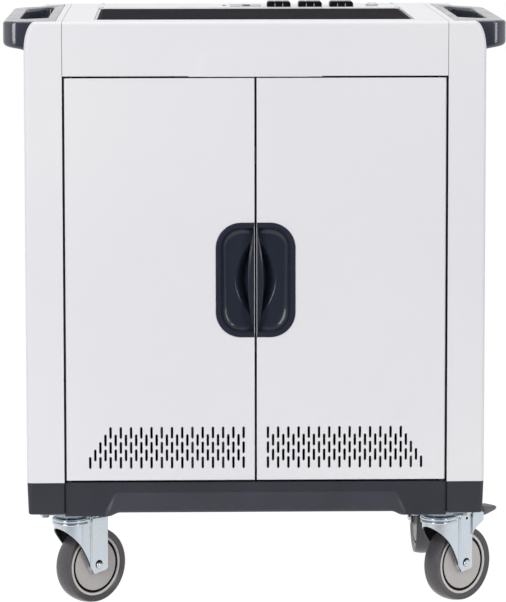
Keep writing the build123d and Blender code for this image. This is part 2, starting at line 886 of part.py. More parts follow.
def mains_inlet():
    """The appliance inlet in the rear plinth: a flange, a hollow body and three flat pins."""
    flange = block(-inlet_width / 2, inlet_width / 2, 0, inlet_flange, -inlet_height / 2, inlet_height / 2)
    half_w, half_h = inlet_body_width / 2, inlet_body_height / 2
    body = flange + block(-half_w, half_w, -inlet_body_depth, 0, -half_h, half_h)
    inner_w, inner_h = half_w - inlet_cavity_wall, half_h - inlet_cavity_wall
    body -= block(-inner_w, inner_w, -inlet_cavity_depth, inlet_flange + overrun, -inner_h, inner_h)
    for dx, dz in ((-1, -1), (1, -1), (0, 1)):
        x, z = dx * inlet_pin_spread, dz * inlet_pin_spread / 2
        body += block(
            x - inlet_pin_thickness / 2, x + inlet_pin_thickness / 2,
            -inlet_cavity_depth - touch, -inlet_cavity_depth + inlet_pin_length,
            z - inlet_pin_width / 2, z + inlet_pin_width / 2,
        )
    return inlet_place() * body


# Base


def plinth_outline():
    """The plinth's front view: a foot at each end and a raised arch between them."""
    half, low, mid = seam_x - seam, plinth_low_x, plinth_mid_x
    edge = outline(
        (-half, base_top), (-half, plinth_low_z), (-low, plinth_low_z), (-mid, plinth_mid_z),
        (mid, plinth_mid_z), (low, plinth_low_z), (half, plinth_low_z), (half, base_top),
    )
    steps = [v for v in edge.vertices() if abs(v.X) < low + touch]
    return fillet(steps, plinth_step_radius)


def plinth_facet(y0):
    """A shallow wedge on the plinth's face, wider at its foot, with slanted ends."""
    top, bottom = base_top - facet_top_drop, plinth_mid_z + facet_bottom_rise
    high, low = seam_x - facet_top_inset, seam_x - facet_bottom_inset
    section = outline((0, top), (-plinth_setback, bottom), (0, bottom - touch))
    wedge = extrude(Plane.YZ.offset(-seam_x) * Pos(y0, 0) * section, amount=2 * seam_x)
    foot = bottom - plinth_setback
    ends = outline((-high, top), (-low, foot), (low, foot), (high, top))
    return wedge & extrude(Plane.XZ * ends, amount=half_depth + overrun)


def plinth():
    """The front plinth: an open moulding whose foot steps down at both ends, with a raised facet."""
    half = seam_x - seam
    y0 = front_y + plinth_setback
    inner, back = y0 + base_wall, y0 + plinth_depth + overrun
    body = extrude(Plane.XZ.offset(-y0) * plinth_outline(), amount=-plinth_depth)
    x = half - base_wall
    body -= block(-x, x, inner, back, plinth_low_z - overrun, base_top - wall - base_wall)
    body -= block(-seam_x, seam_x, inner, back, base_top - wall, base_top + wall)
    return body + plinth_facet(y0)


def rear_plinth():
    """The rear plinth, with the hole for the mains inlet."""
    body = mirror(plinth(), about=Plane.XZ)
    hole = Box(inlet_body_width + slip, 2 * inlet_body_depth, inlet_body_height + slip)
    seat = block(-inlet_width, inlet_width, 0, overrun, -inlet_height, inlet_height)
    return body - inlet_place() * hole - inlet_place() * seat


def end_cap():
    """The dark skirt under the right side panel: three tapered walls, a rounded foot and a top flange."""
    foot_x = half_width - cap_taper
    section = outline(
        (seam_x, base_top), (half_width, base_top), (foot_x, base_bottom), (seam_x, base_bottom)
    )
    solid = extrude(Plane.XZ * section, amount=half_depth, both=True)
    uprights = [
        e for e in solid.edges()
        if e.center().X > seam_x + touch and abs(abs(e.center().Y) - half_depth) < touch
        and e.bounding_box().size.Z > base_height / 2
    ]
    solid = fillet(uprights, edge_radius)
    foot = [e for e in solid.faces().sort_by(Axis.Z)[0].edges() if e.center().X > seam_x + touch]
    solid = fillet(foot, cap_foot_radius)
    x0, x1 = seam_x - overrun, half_width - base_wall
    inner = half_depth - base_wall
    solid -= block(x0, x1 - cap_taper, -inner, inner, base_bottom - overrun, base_top - wall - base_wall)
    solid -= block(x0, x1, -inner, inner, base_top - wall, base_top + wall)
    x1, inner = caster_x + beam_width / 2 + slip, beam_length / 2 + slip
    return solid - block(x0, x1, -inner, inner, base_bottom - overrun, base_top)


def caster_beam():
    """A steel channel under the floor that carries the casters of one side."""
    x, y, top = beam_width / 2, beam_length / 2, base_top - wall
    beam = block(-x, x, -y, y, beam_bottom, top)
    x, y = x - beam_sheet, y - beam_sheet
    return Pos(caster_x, 0, 0) * (beam - block(-x, x, -y, y, beam_bottom + beam_sheet, top + overrun))


# Casters, each in its own frame: the swivel axis at the origin and the wheel trailing along +X


def mounting_plate():
    """The top plate with slotted bolt holes, the upper race and the kingpin that holds the fork."""
    face = RectangleRounded(plate_length, plate_width, plate_corner)
    hole = Rot(0, 0, 90) * slot_outline(bolt_hole_length, 2 * (bolt_radius + slip))
    for sx in (-1, 1):
        for sy in (-1, 1):
            face -= Pos(sx * bolt_spacing_x / 2, sy * bolt_spacing_y / 2) * hole
    plate = Pos(0, 0, race_top_z) * extrude(face, amount=plate_thickness)
    race = outline(
        (0, race_top_z), (race_top_radius, race_top_z), (race_top_radius, race_top_z - race_height / 2),
        (race_radius, race_top_z - race_height), (0, race_top_z - race_height),
    )
    plate += revolve(Plane.XZ * race, Axis.Z)
    head_top = crown_top_z - fork_sheet - race_gap
    plate += rod(kingpin_radius, 0, 0, head_top - kingpin_head_height, race_top_z)
    return plate + rod(kingpin_head_radius, 0, 0, head_top - kingpin_head_height, head_top)


def fork_plan(grow):
    """The fork's plan: a round front about the swivel axis and two straight legs."""
    half = fork_half_width + grow
    fold = caster_offset - fork_leg_fold
    front = crown_radius + grow
    legs = outline((fold, -half), (fork_rear, -half), (fork_rear, half), (fold, half))
    lean = math.atan2(half, fold) + math.acos(front / math.hypot(fold, half))
    x, y = front * math.cos(lean), front * math.sin(lean)
    bridge = outline((0, -y), (x, -y), (fold, -half), (fold, half), (x, y), (0, y))
    return legs + bridge + Circle(front)


def fork_side():
    """The fork's side: swept from the front of the crown to the wheel bolt, and upright behind it."""
    low, top = wheel_radius - fork_foot_drop, crown_top_z
    start = (-crown_radius, top - fork_front_height)
    foot = (caster_offset - fork_foot_run, low)
    reach = crown_radius + overrun
    sweep = SagittaArc(start, foot, fork_sweep_bow)
    rest = Polyline(
        foot, (fork_rear - fork_heel_rise, low), (fork_rear, low + fork_heel_rise), (fork_rear, top),
        (-reach, top), (-reach, start[1]), start,
    )
    return extrude(Plane.XZ * make_face(sweep + rest), amount=reach, both=True)


def crown_bead():
    """The rounded ring round the front of the crown that holds the lower race."""
    ring = rod(bead_radius, 0, 0, crown_top_z - bead_height, crown_top_z)
    ring = chamfer(ring.edges().filter_by(GeomType.CIRCLE), bead_edge)
    return ring - rod(crown_radius - fork_sheet, 0, 0, crown_top_z - bead_height, crown_top_z - fork_sheet)


def fork(braked):
    """A pressed fork: crown, ring and two legs cut to one swept edge, with brake ears where asked."""
    under = crown_top_z - fork_sheet
    shell = extrude(fork_plan(0), amount=crown_top_z) - extrude(fork_plan(-fork_sheet), amount=under)
    inner = fork_half_width - fork_sheet
    shell -= block(fork_rear - overrun, fork_rear + overrun, -inner, inner, 0, under)
    body = (shell & fork_side()) + crown_bead()
    body -= block(caster_offset - fork_leg_fold - fork_sheet, fork_rear, -inner, inner, 0, under)
    body -= rod(kingpin_radius + running, 0, 0, 0, crown_top_z + overrun)
    reach = overrun + crown_radius
    body -= lying_rod(axle_radius + running, caster_offset, wheel_radius, -reach, reach)
    return body + brake_bracket() if braked else body


def brake_bracket():
    """Two ears that carry the brake pedal's pin behind the fork's crown."""
    x0, x1 = caster_offset, caster_offset + brake_bracket_length
    top = crown_top_z
    ear = outline(
        (x0, top), (x1, top), (x1, top - brake_bracket_height),
        (fork_rear, top - brake_bracket_root), (x0, top - brake_bracket_root),
    )
    ears = extrude(Plane.XZ * ear, amount=fork_half_width, both=True)
    inner = fork_half_width - fork_sheet
    ears -= block(x0 - overrun, x1 + overrun, -inner, inner, wheel_radius, top + overrun)
    reach = overrun + fork_half_width
    return ears - lying_rod(pedal_pin_radius + running, pedal_pivot_t, pedal_pivot_z, -reach, reach)


def brake_pedal():
    """A rocking pedal: a pivot tube with its pin, an arm between the ears and a broad tread cap."""
    half = fork_half_width - fork_sheet - slip
    pin = lying_rod(pedal_pin_radius, pedal_pivot_t, pedal_pivot_z, -fork_half_width, fork_half_width)
    tube = lying_rod(pedal_tube_radius, pedal_pivot_t, pedal_pivot_z, -half, half)
    tilt = math.degrees(math.atan2(pedal_tip_rise, pedal_reach))
    length = math.hypot(pedal_tip_rise, pedal_reach)
    thick, deep = pedal_arm_thickness / 2, pedal_cap_thickness
    arm = block(0, length - deep, -pedal_arm_width / 2, pedal_arm_width / 2, -thick, thick)
    cap = block(pedal_cap_start, length, -pedal_cap_width / 2, pedal_cap_width / 2, -deep, deep)
    nose = cap.edges().filter_by(Axis.Y).group_by(Axis.X)[-1]
    cap = chamfer(nose, deep - touch, deep)
    return pin + tube + Pos(pedal_pivot_t, 0, pedal_pivot_z) * Rot(0, -tilt, 0) * (arm + cap)


def axle():
    """The wheel bolt with a bevelled head at each side of the fork."""
    outer = fork_half_width
    reach = outer + axle_head_height
    shaft = lying_rod(axle_radius, caster_offset, wheel_radius, -reach, reach)
    for y0, y1 in ((-reach, -outer), (outer, reach)):
        head = lying_rod(axle_head_radius, caster_offset, wheel_radius, y0, y1)
        rims = head.edges().sort_by(Axis.Y)
        shaft += chamfer(rims[0] if y0 < 0 else rims[-1], axle_head_height / 4)
    return shaft


def wheel_place():
    return Pos(caster_offset, 0, wheel_radius) * Rot(90, 0, 0)


def hub():
    """The wheel's centre: a rim, a dark groove, a slightly dished disc and a boss with the bore."""
    half = hub_rim_width / 2
    groove_in = hub_groove_radius - hub_groove_width
    bore = axle_radius + 2 * running
    inner = wheel_width / 2 + fork_gap - slip
    rim = tyre_inner_radius - running
    right = [
        (bore, inner), (hub_boss_radius, inner), (hub_boss_radius, half - hub_dish),
        (groove_in, half), (groove_in, half - hub_groove_depth), (hub_groove_radius, half - hub_groove_depth),
        (hub_groove_radius, half), (rim, half),
    ]
    section = outline(*right, *[(x, -z) for x, z in reversed(right)])
    return wheel_place() * revolve(Plane.XZ * section, Axis.Z)


def tyre():
    """A soft tread on the hub's rim, crowned across its width in flat bands."""
    half, side = wheel_width / 2, hub_rim_width / 2
    crown = []
    for i in range(tread_bands + 1):
        across = 2 * i / tread_bands - 1
        crown.append((wheel_radius - tread_crown * across ** 2, across * half))
    section = outline((tyre_inner_radius, -side), *crown, (tyre_inner_radius, side))
    return wheel_place() * revolve(Plane.XZ * section, Axis.Z)


def caster_bolts():
    """Four hexagon bolts through the slots of one mounting plate, up to the beam."""
    made = []
    for sx in (-1, 1):
        for sy in (-1, 1):
            x, y = sx * bolt_spacing_x / 2, sy * bolt_spacing_y / 2
            head = RegularPolygon(bolt_head_radius, bolt_head_sides)
            head = Pos(x, y, race_top_z - bolt_head_height) * head
            shank = rod(bolt_radius, x, y, race_top_z, beam_bottom)
            made.append(extrude(head, amount=bolt_head_height) + shank)
    return made


def caster_place(corner):
    """Where a caster stands, and which way it trails."""
    end, side = corner.split("_")
    x = caster_x if side == "right" else -caster_x
    y = -caster_y if end == "front" else caster_y
    return Pos(x, y, 0), Rot(0, 0, caster_headings[corner])


def save_casters():
    """Writes the four casters, their plates and their bolts."""
    plates, bolts = [], []
    for corner in caster_headings:
        place, heading = caster_place(corner)
        braked = corner in braked_casters
        save(f"fork_{corner}", place * heading * fork(braked))
        save(f"axle_{corner}", place * heading * axle())
        save(f"hub_{corner}", place * heading * hub())
        save(f"tyre_{corner}", place * heading * tyre())
        if braked:
            save(f"brake_pedal_{corner}", place * heading * brake_pedal())
        plates.append(place * mounting_plate())
        bolts += [place * bolt for bolt in caster_bolts()]
    save("caster_plates", *plates)
    save("caster_bolts", *bolts)


def main():
    os.makedirs("parts", exist_ok=True)
    save_pair("side_panel", side_panel())
    save_pair("handle", handle())
    save_pair("inner_wall", inner_wall())
    save_pair("end_cap", end_cap())
    save_pair("caster_beam", caster_beam())
    save_pair("front_door", front_door())
    save_pair("front_pull", door_pull())
    save("rear_door_right", locking_door())
    save("rear_door_left", mirror(rear_door(), about=Plane.YZ))
    save("top_cover", top_cover())
    save("top_mat", top_mat())
    save("console_panel", console_panel())
    save("outlet_blocks", *outlet_blocks())
    save("control_module", control_module())
    save("indicator_lens", indicator_lens())
    save("button_bezel", button_bezel())
    save("power_button", power_button())
    save("console_screws", *console_screws())
    save("ceiling_panel", ceiling_panel())
    save("floor_pan", floor_pan())
    save("partition", partition())
    save("mid_shelf", mid_shelf())
    save("dividers_lower", *dividers(base_top))
    save("dividers_upper", *dividers(inner_middle_z))
    save("door_catches", *door_catches())
    save("power_strips", *power_strips())
    save("charge_controller", charge_controller())
    save("mains_inlet", mains_inlet())
    save("plinth_front", plinth())
    save("plinth_rear", rear_plinth())
    save("hinge_pins", *hinge_pins(-1), *hinge_pins(1))
    save("rear_lock_barrel", lock_barrel())
    save("rear_lock_cam", lock_cam())
    save_casters()


main()
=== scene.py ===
"""Looks for a laptop charging cart: enamelled steel, moulded plastic and zinc-plated casters."""
import math
from collections import namedtuple
from functools import cache

import bmesh
import bpy
import numpy as np
from bpy.props import FloatProperty, FloatVectorProperty, PointerProperty
from mathutils import Matrix, Vector


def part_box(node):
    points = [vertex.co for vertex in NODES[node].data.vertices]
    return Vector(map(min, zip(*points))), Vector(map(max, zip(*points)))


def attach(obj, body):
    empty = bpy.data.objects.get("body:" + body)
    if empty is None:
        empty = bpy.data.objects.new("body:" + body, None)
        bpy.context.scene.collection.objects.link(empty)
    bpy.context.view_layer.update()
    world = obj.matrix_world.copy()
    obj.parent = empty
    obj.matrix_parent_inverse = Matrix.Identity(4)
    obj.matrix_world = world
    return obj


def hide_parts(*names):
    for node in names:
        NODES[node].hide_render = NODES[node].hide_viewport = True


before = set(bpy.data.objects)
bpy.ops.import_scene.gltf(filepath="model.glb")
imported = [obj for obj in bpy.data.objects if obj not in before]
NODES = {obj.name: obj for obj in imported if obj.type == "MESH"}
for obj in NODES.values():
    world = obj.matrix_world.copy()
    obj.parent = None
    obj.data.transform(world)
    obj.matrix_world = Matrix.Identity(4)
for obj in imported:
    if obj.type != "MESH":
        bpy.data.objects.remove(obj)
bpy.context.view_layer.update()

bl_info = {
    "name": "Charging Cart Finish",
    "version": (1, 0, 0),
    "blender": (4, 5, 0),
    "location": "View3D > Sidebar > Cart",
    "description": "Builds the finished pieces, materials and studio of a laptop charging cart",
    "category": "Object",
}

MM = 0.001
HANDS = ((-1, "left"), (1, "right"))

# Casters, in millimetres and degrees: the swivel axis stands at (x, y) and the wheel trails along the heading
CASTERS = {
    "front_left": (-300.0, -227.0, 40.0),
    "front_right": (300.0, -227.0, 40.0),
    "rear_left": (-300.0, 227.0, -86.0),
    "rear_right": (300.0, 227.0, -88.0),
}
BRAKED = ("front_right", "rear_left")
TRAIL = 42.0
WHEEL_RADIUS = 62.5
TREAD_HALF = 16.0
RING_INNER, RING_OUTER = 46.2, 50.45
HUB_BORE, HUB_HALF = 6.2, 18.2
FORK_TOP = 146.0
FORK_HALF = 21.5
FORK_FOLD = 26.0
CROWN_RADIUS = 27.0
LEG_REAR, BRAKED_LEG_REAR = 61.0, 56.0
PIN_RUN, PIN_Z = 73.0, 141.0

# The body, the doors and their pulls, in millimetres
FRONT_Y = -300.0
REAR_Y = 300.0
BODY_HALF = 367.0
BODY_TOP = 954.0
SEAM_X = 307.0
DOOR_BACK = -282.0
DOOR_INNER, DOOR_OUTER = 1.65, 303.5
DOOR_BOTTOM, DOOR_TOP = 219.0, 865.0
APRON_FOOT = 867.0
PULL_Z = 542.0
PULL_HALF = 90.6
PULL_PROUD = 1.5
LENS_HALF, FLOOR_HALF = 66.0, 56.0

# The base, in millimetres
BASE_TOP = 215.0
CAP_FOOT = 162.9
PLINTH_FACE = -297.0
PLINTH_FOOT = 165.6
PLINTH_LEDGE = 210.0
PLINTH_DEPTH = 12.5
FACET_TOP = 198.0

# The handles' plans from above and the corners' radii, in millimetres
HANDLE_PLAN = ((317.0, -280.0), (401.0, -280.0), (401.0, 150.0), (317.0, 270.0))
HANDLE_RADII = np.array((2.0, 25.0, 45.0, 2.0))
HANDLE_MIDDLE = np.array((356.0, -20.0))
HANDLE_EDGE = 949.8
MOUTH_PLAN = ((332.5, -171.0), (377.5, -217.0), (377.5, 108.0), (332.5, 192.0))
MOUTH_RADII = np.full(4, 9.0)


def linear(text):
    """An sRGB hex colour as linear RGB."""
    raw = np.array([int(text[i:i + 2], 16) / 255 for i in (1, 3, 5)])
    return tuple(float(v) for v in np.where(raw <= 0.04045, raw / 12.92, ((raw + 0.055) / 1.055) ** 2.4))


def colour(name, text, description):
    """A colour property whose default is an sRGB hex colour."""
    return FloatVectorProperty(
        name=name, description=description, subtype="COLOR", size=3, min=0.0, max=1.0, default=linear(text)
    )


def length(name, value, description):
    """A length property in metres, given in millimetres."""
    return FloatProperty(
        name=name, description=description, unit="LENGTH", min=0.0, default=value * MM, precision=5
    )


class CartColours(bpy.types.PropertyGroup):
    """Colours of the cart's finishes."""

    panel: colour("Panels", "#dfdee3", "Powder-coated steel of the panels and doors")
    panel_warm: colour("Panels, warm drift", "#e2e1e4", "The slow drift of tone across the panels")
    inner: colour("Inner steel", "#8f9194", "Powder-coated steel inside")
    base: colour("Base", "#33343c", "Textured moulded plastic of the plinth and the end caps")
    # The facet's colour is the base's made lighter: painted light where the facet tilts up.
    facet: colour("Plinth facet", "#3f4048", "The plinth's raised facet, moulded a little smoother, with painted light")
    # The races' zinc is darker than the fork's: painted shade of the base above them.
    race: colour("Races", "#9ea4aa", "Zinc plating of the turned races, seen in the shade of the base")
    handle: colour("Handles", "#3a3d49", "Moulded plastic of the handles, nearly polished")
    button: colour("Button", "#cdcdd0", "Pale plastic of the button")
    pull: colour("Door pulls", "#282d39", "Glossy moulded plastic")
    console: colour("Console", "#dcdcde", "Light moulded plastic")
    control: colour("Controls", "#b2b2b6", "Grey moulded plastic of the module and the bezel")
    outlet: colour("Outlets", "#0e0e10", "Black moulded polycarbonate")
    divider: colour("Dividers", "#6d7076", "Polypropylene sheet")
    mat: colour("Mat", "#2c282e", "Ribbed rubber")
    zinc: colour("Zinc plate", "#cfd5db", "Bright zinc on pressed steel")
    hub: colour("Wheel centre", "#c4c0be", "Warm grey nylon")
    hub_ring: colour("Wheel ring", "#d8d4d2", "Pale nylon ring round the wheel's centre")
    # Black painted shade: the wheel's groove, the holes in the brake ears and round the wheel bolts.
    groove: colour("Wheel groove", "#0d0d0e", "Black, painted shade in the wheel's groove and the forks' holes")
    tyre: colour("Tread", "#4c494d", "Thermoplastic rubber")
    pedal: colour("Pedal", "#5f6163", "Grey nylon")
    # Black painted shade in the gaps round the doors and in the seams beside the legs.
    shade_in_gaps: colour("Painted gap shade", "#0b0b0c", "Black lips in the door gaps and seams, painted shade")


class CartSizes(bpy.types.PropertyGroup):
    """Sizes of the pieces that are made here."""

    tread_crown: length("Tread crown", 2.6, "How far the tread's shoulders lie below its middle")
    groove_width: length("Wheel groove", 4.5, "Width of the dark groove between the wheel's centre and its ring")
    fork_sheet: length("Fork sheet", 3.0, "Thickness of the pressed fork")
    fork_shoulder: length("Fork shoulder", 5.0, "Radius between the fork's side and its crown")
    cut_edge: length("Cut edge", 0.5, "Width of the bright broken edge of pressed steel")
    bowl_depth: length("Bowl depth", 13.0, "Depth of the pull's bowl where it drops behind the grip")
    pocket_depth: length("Pocket depth", 31.0, "Depth of the pull's pocket behind the grip")
    grip_width: length("Grip width", 10.6, "Width of half the grip at its middle")
    handle_foot: length("Handle foot", 7.0, "Radius of the handle's lower edge")
    foot_drop: length("Plinth foot", 6.0, "How far the plinth's ends hang below its middle")
    boss_proud: length("Boss", 1.45, "How proud the apron's boss stands")
    shade_lip: length("Shade lip", 0.4, "Thickness of the black lips of painted shade in the door gaps")


# Nodes and materials


def put(thing, **properties):
    """Sets a thing's properties and hands it back."""
    for key, value in properties.items():
        setattr(thing, key, value)
    return thing


def linked(name, data):
    """A new object of the scene."""
    made = bpy.data.objects.new(name, data)
    bpy.context.scene.collection.objects.link(made)
    return made


def add(tree, kind, links=None, values=None, **properties):
    """Adds a shader node with its properties, its inputs' values and the sockets linked to its inputs."""
    node = put(tree.nodes.new(kind), **properties)
    for key, value in (values or {}).items():
        node.inputs[key].default_value = value
    for key, socket in (links or {}).items():
        tree.links.new(socket, node.inputs[key])
    return node


def rgba(value):
    """A linear colour with full alpha."""
    return (*(float(v) for v in tuple(value)[:3]), 1.0)


def blank_tree(owner):
    """The emptied node tree of a material or a world."""
    owner.use_nodes = True
    owner.node_tree.nodes.clear()
    return owner.node_tree


# A noise pattern: the size of its features in millimetres, its detail and its roughness
Noise = namedtuple("Noise", "size detail rough", defaults=(2.0, 0.5))


def shades(base, dark, light):
    """A colour made darker and lighter by two factors, or by two factors for each channel."""
    base = np.array(tuple(base)[:3])
    return base * dark, base * light


def surface(name, tones, tone, skin, sheen, rough, depth=0.0, spread=(0.3, 0.7), drawn=None, **values):
    """A procedural finish whose tone, skin and sheen each follow a noise.

    The colour runs between two tones over the spread of the tone's noise or, without one, of the product of the
    other two. The skin is a bump as deep as depth, in millimetres, and drawn is its scale upwards where the sheet
    was drawn. The sheen runs between two roughnesses. Values are the shader's own, by socket, with _ for a space.
    """
    material = bpy.data.materials.new(name)
    tree = blank_tree(material)
    way = place = add(tree, "ShaderNodeTexCoord").outputs["Object"]
    if drawn:
        way = add(tree, "ShaderNodeMapping", {"Vector": place}, {"Scale": (1.0, 1.0, drawn)}).outputs[0]
    fields = []
    for noise, vector in ((tone, place), (skin, way), (sheen, place)):
        fields.append(noise and add(tree, "ShaderNodeTexNoise", {"Vector": vector}, {
            "Scale": 1 / (noise.size * MM), "Detail": noise.detail, "Roughness": noise.rough,
        }).outputs["Fac"])
    if tone is None:
        fields[0] = add(tree, "ShaderNodeMath", {0: fields[1], 1: fields[2]}, operation="MULTIPLY").outputs[0]
    share = add(tree, "ShaderNodeMapRange", {"Value": fields[0]}, {"From Min": spread[0], "From Max": spread[1]})
    mixed = add(tree, "ShaderNodeMix", {"Factor": share.outputs[0]}, {
        6: rgba(tones[0]), 7: rgba(tones[1]),
    }, data_type="RGBA")
    gloss = add(tree, "ShaderNodeMapRange", {"Value": fields[2]}, {
        "From Min": 0.3, "From Max": 0.7, "To Min": rough[0], "To Max": rough[1],
    })
    links = {"Base Color": mixed.outputs[2], "Roughness": gloss.outputs[0]}
    if skin:
        bump = add(tree, "ShaderNodeBump", {"Height": fields[1]}, {"Distance": depth * MM})
        links["Normal"] = bump.outputs[0]
    values = {key.replace("_", " "): value for key, value in values.items()}
    shader = add(tree, "ShaderNodeBsdfPrincipled", links, values)
    add(tree, "ShaderNodeOutputMaterial", {"Surface": shader.outputs[0]})
    return material


def enamel(name, base, drift, rough):
    """Powder-coated steel: satin, with faint orange peel and a slow drift of tone over each panel.

    Real peel is about 1.5 mm across; it is drawn at 3 mm so that it shows at this size.
    """
    return surface(
        name, (base, drift), Noise(420, 1.0), Noise(3.0, 1.0), Noise(60), (rough - 0.03, rough + 0.04),
        depth=0.02, spread=(0.35, 0.65), IOR=1.5, Specular_IOR_Level=0.4,
    )


def moulded(name, base, rough, depth=0.04, drift=0.06, specular=0.5):
    """Injection-moulded plastic: an etched grain, a slightly uneven sheen and faint flow marks.

    The etched grain is about 0.4 mm; it is drawn at 1.2 mm so that it shows.
    """
    return surface(
        name, shades(base, 1 - drift, 1 + drift), Noise(90, 3.0), Noise(1.2), Noise(35),
        (rough - 0.04, rough + 0.05), depth=depth, IOR=1.5, Specular_IOR_Level=specular,
    )


def glossy(name, base, rough, specular=0.5):
    """Polished moulded plastic: sharp highlights over a faint sink ripple, with dust-fine scuffs.

    A sink mark is about 14 mm across. The scuffs are below 1 mm; they are drawn at 2.5 mm so that they show.
    """
    return surface(
        name, shades(base, 0.94, 1.06), Noise(30), Noise(14, 1.0), Noise(2.5, 4.0, 0.7), (rough, rough + 0.06),
        depth=0.012, IOR=1.5, Specular_IOR_Level=specular,
    )


def zinc_plate(name, base, rough=0.14):
    """Bright zinc on pressed steel: a bluish passivated metal, clouded, with faint upright draw lines.

    The draw lines are a few tenths of a millimetre wide; they are drawn at 1.5 mm so that they show.
    """
    cloud = Noise(18, 4.0, 0.6)
    return surface(
        name, shades(base, (0.86, 0.92, 1.0), (1.03, 1.01, 0.95)), cloud, Noise(1.5, 3.0), cloud,
        (rough, rough + 0.16), depth=0.015, drawn=0.06, Metallic=1.0,
    )


def rubber(name, base, rough, grain=1.0, specular=0.3):
    """Rubber: dark, nearly matt, with fine speckle where dust and mould release sit.

    The speckle is a few tenths of a millimetre; it is drawn as coarse as grain, in millimetres, so that it shows.
    """
    return surface(
        name, shades(base, 0.86, 1.14), None, Noise(grain, 3.0, 0.6), Noise(40), (rough - 0.05, rough + 0.08),
        depth=0.05, spread=(0.1, 0.4), IOR=1.52, Specular_IOR_Level=specular,
    )


def nickel_plate(name, base, rough):
    """Nickel-plated casting: bright, with soft clouding about 8 mm across in its polish."""
    cloud = Noise(8, 3.0)
    return surface(name, shades(base, 0.94, 1.0), cloud, None, cloud, (rough, rough + 0.08), Metallic=1.0)


@cache
def finish(slot):
    """The material of a slot, made once."""
    c = bpy.context.scene.cart_colours
    makers = {
        "white_enamel": lambda: enamel("Powder-coated steel, white", c.panel, c.panel_warm, 0.42),
        "grey_enamel": lambda: enamel("Powder-coated steel, inner grey", c.inner, np.array(c.inner) * 1.05, 0.45),
        "black_enamel": lambda: enamel("Powder-coated steel, black", linear("#18191c"), linear("#1b1c20"), 0.45),
        "dark_plastic": lambda: moulded("Textured ABS, dark grey", c.base, 0.42, specular=0.3),
        "zinc_race": lambda: zinc_plate("Zinc plate, darkened with painted shade", c.race, 0.07),
        "plinth_facet": lambda: moulded("Smooth ABS, dark grey, with painted light", c.facet, 0.4, specular=0.35),
        "handle_plastic": lambda: moulded("Satin ABS, dark grey", c.handle, 0.18, depth=0.008, specular=0.85),
        "button_plastic": lambda: moulded("ABS, pale grey", c.button, 0.35),
        "gloss_plastic": lambda: glossy("Polished ABS, blue black", c.pull, 0.14, specular=0.4),
        "console_plastic": lambda: moulded("ABS, light grey", c.console, 0.4),
        "grey_plastic": lambda: moulded("ABS, mid grey", c.control, 0.38),
        "black_plastic": lambda: moulded("Polycarbonate, black", c.outlet, 0.4, drift=0.04, specular=0.12),
        "lens_plastic": lambda: glossy("Acrylic, clouded", linear("#8d9490"), 0.2),
        "divider_plastic": lambda: moulded("Polypropylene sheet, grey", c.divider, 0.45),
        "mat_rubber": lambda: rubber("Ribbed rubber, black", c.mat, 0.85, specular=0.06),
        "zinc_steel": lambda: zinc_plate("Zinc-plated pressed steel", c.zinc),
        # Zinc darkened to 0.16: painted shade inside the fork and on its cut edge.
        "zinc_painted_shade": lambda: zinc_plate("Zinc-plated steel, darkened with painted shade inside", np.array(c.zinc) * 0.16, 0.5),
        "wheel_plastic": lambda: moulded("Nylon, warm grey", c.hub, 0.42, specular=0.35),
        "wheel_ring": lambda: moulded("Nylon, pale grey", c.hub_ring, 0.4, specular=0.35),
        "painted_shade_black": lambda: rubber("Black, painted shade in grooves and holes", c.groove, 0.7, specular=0.1),
        "tyre_rubber": lambda: rubber("Thermoplastic rubber, grey", c.tyre, 0.3, grain=1.6, specular=0.5),
        "pedal_plastic": lambda: moulded("Nylon, grey", c.pedal, 0.42),
        "painted_gap_shade": lambda: rubber("Black, painted shade in gaps and seams", c.shade_in_gaps, 0.8, specular=0.1),
        "chrome": lambda: nickel_plate("Nickel-plated zinc casting", linear("#c9cacc"), 0.12),
    }
    return makers[slot]()


# Meshes


def circle(steps):
    """Angles once round, first and last alike."""
    return np.linspace(0, 2 * np.pi, steps + 1)


def as_points(*coordinates):
    """Coordinates stacked as points, each spread over the others' rows and columns."""
    return np.stack(np.broadcast_arrays(*coordinates), axis=-1)


def power(wave, exponent):
    """A sine or cosine raised to an exponent with its sign kept, which squares off or sharpens a round."""
    return np.sign(wave) * np.abs(wave) ** exponent


def eased(share):
    """A smooth step: three times the square less twice the cube of a share held between 0 and 1."""
    share = np.clip(share, 0, 1)
    return share * share * (3 - 2 * share)


def along(line):
    """The distance along a line up to each of its points."""
    return np.concatenate([[0], np.cumsum(np.linalg.norm(np.diff(line, axis=0), axis=1))])


def rounded(points, reach, steps=7):
    """A line through the points whose corners are drawn as arcs.

    Each arc starts reach before its corner and ends as far behind it; it is the conic with those two ends, the
    corner as its middle and the cosine of half the turn as its weight, which is a circle.
    """
    p = np.array(points, dtype=float)
    corner = p[1:-1]
    reach = np.broadcast_to(np.asarray(reach, dtype=float), len(corner))[:, None]
    back, on = p[:-2] - corner, p[2:] - corner
    back /= np.linalg.norm(back, axis=1, keepdims=True)
    on /= np.linalg.norm(on, axis=1, keepdims=True)
    weight = np.sqrt((1 - (back * on).sum(axis=1)) / 2)[:, None, None]
    w = np.linspace(0, 1, steps)[None, :, None]
    a, b, c = (1 - w) ** 2, 2 * w * (1 - w) * weight, w ** 2
    start, end = (corner + back * reach)[:, None], (corner + on * reach)[:, None]
    arcs = (a * start + b * corner[:, None] + c * end) / (a + b + c)
    return np.concatenate([p[:1], arcs.reshape(-1, 2), p[-1:]])


def capped(grid):
    """A tube's grid with its first and last rows drawn together to their middles, which closes its ends."""
    first, last = (np.broadcast_to(row.mean(axis=0), row.shape) for row in (grid[0], grid[-1]))
    return np.concatenate([first[None], grid, last[None]])


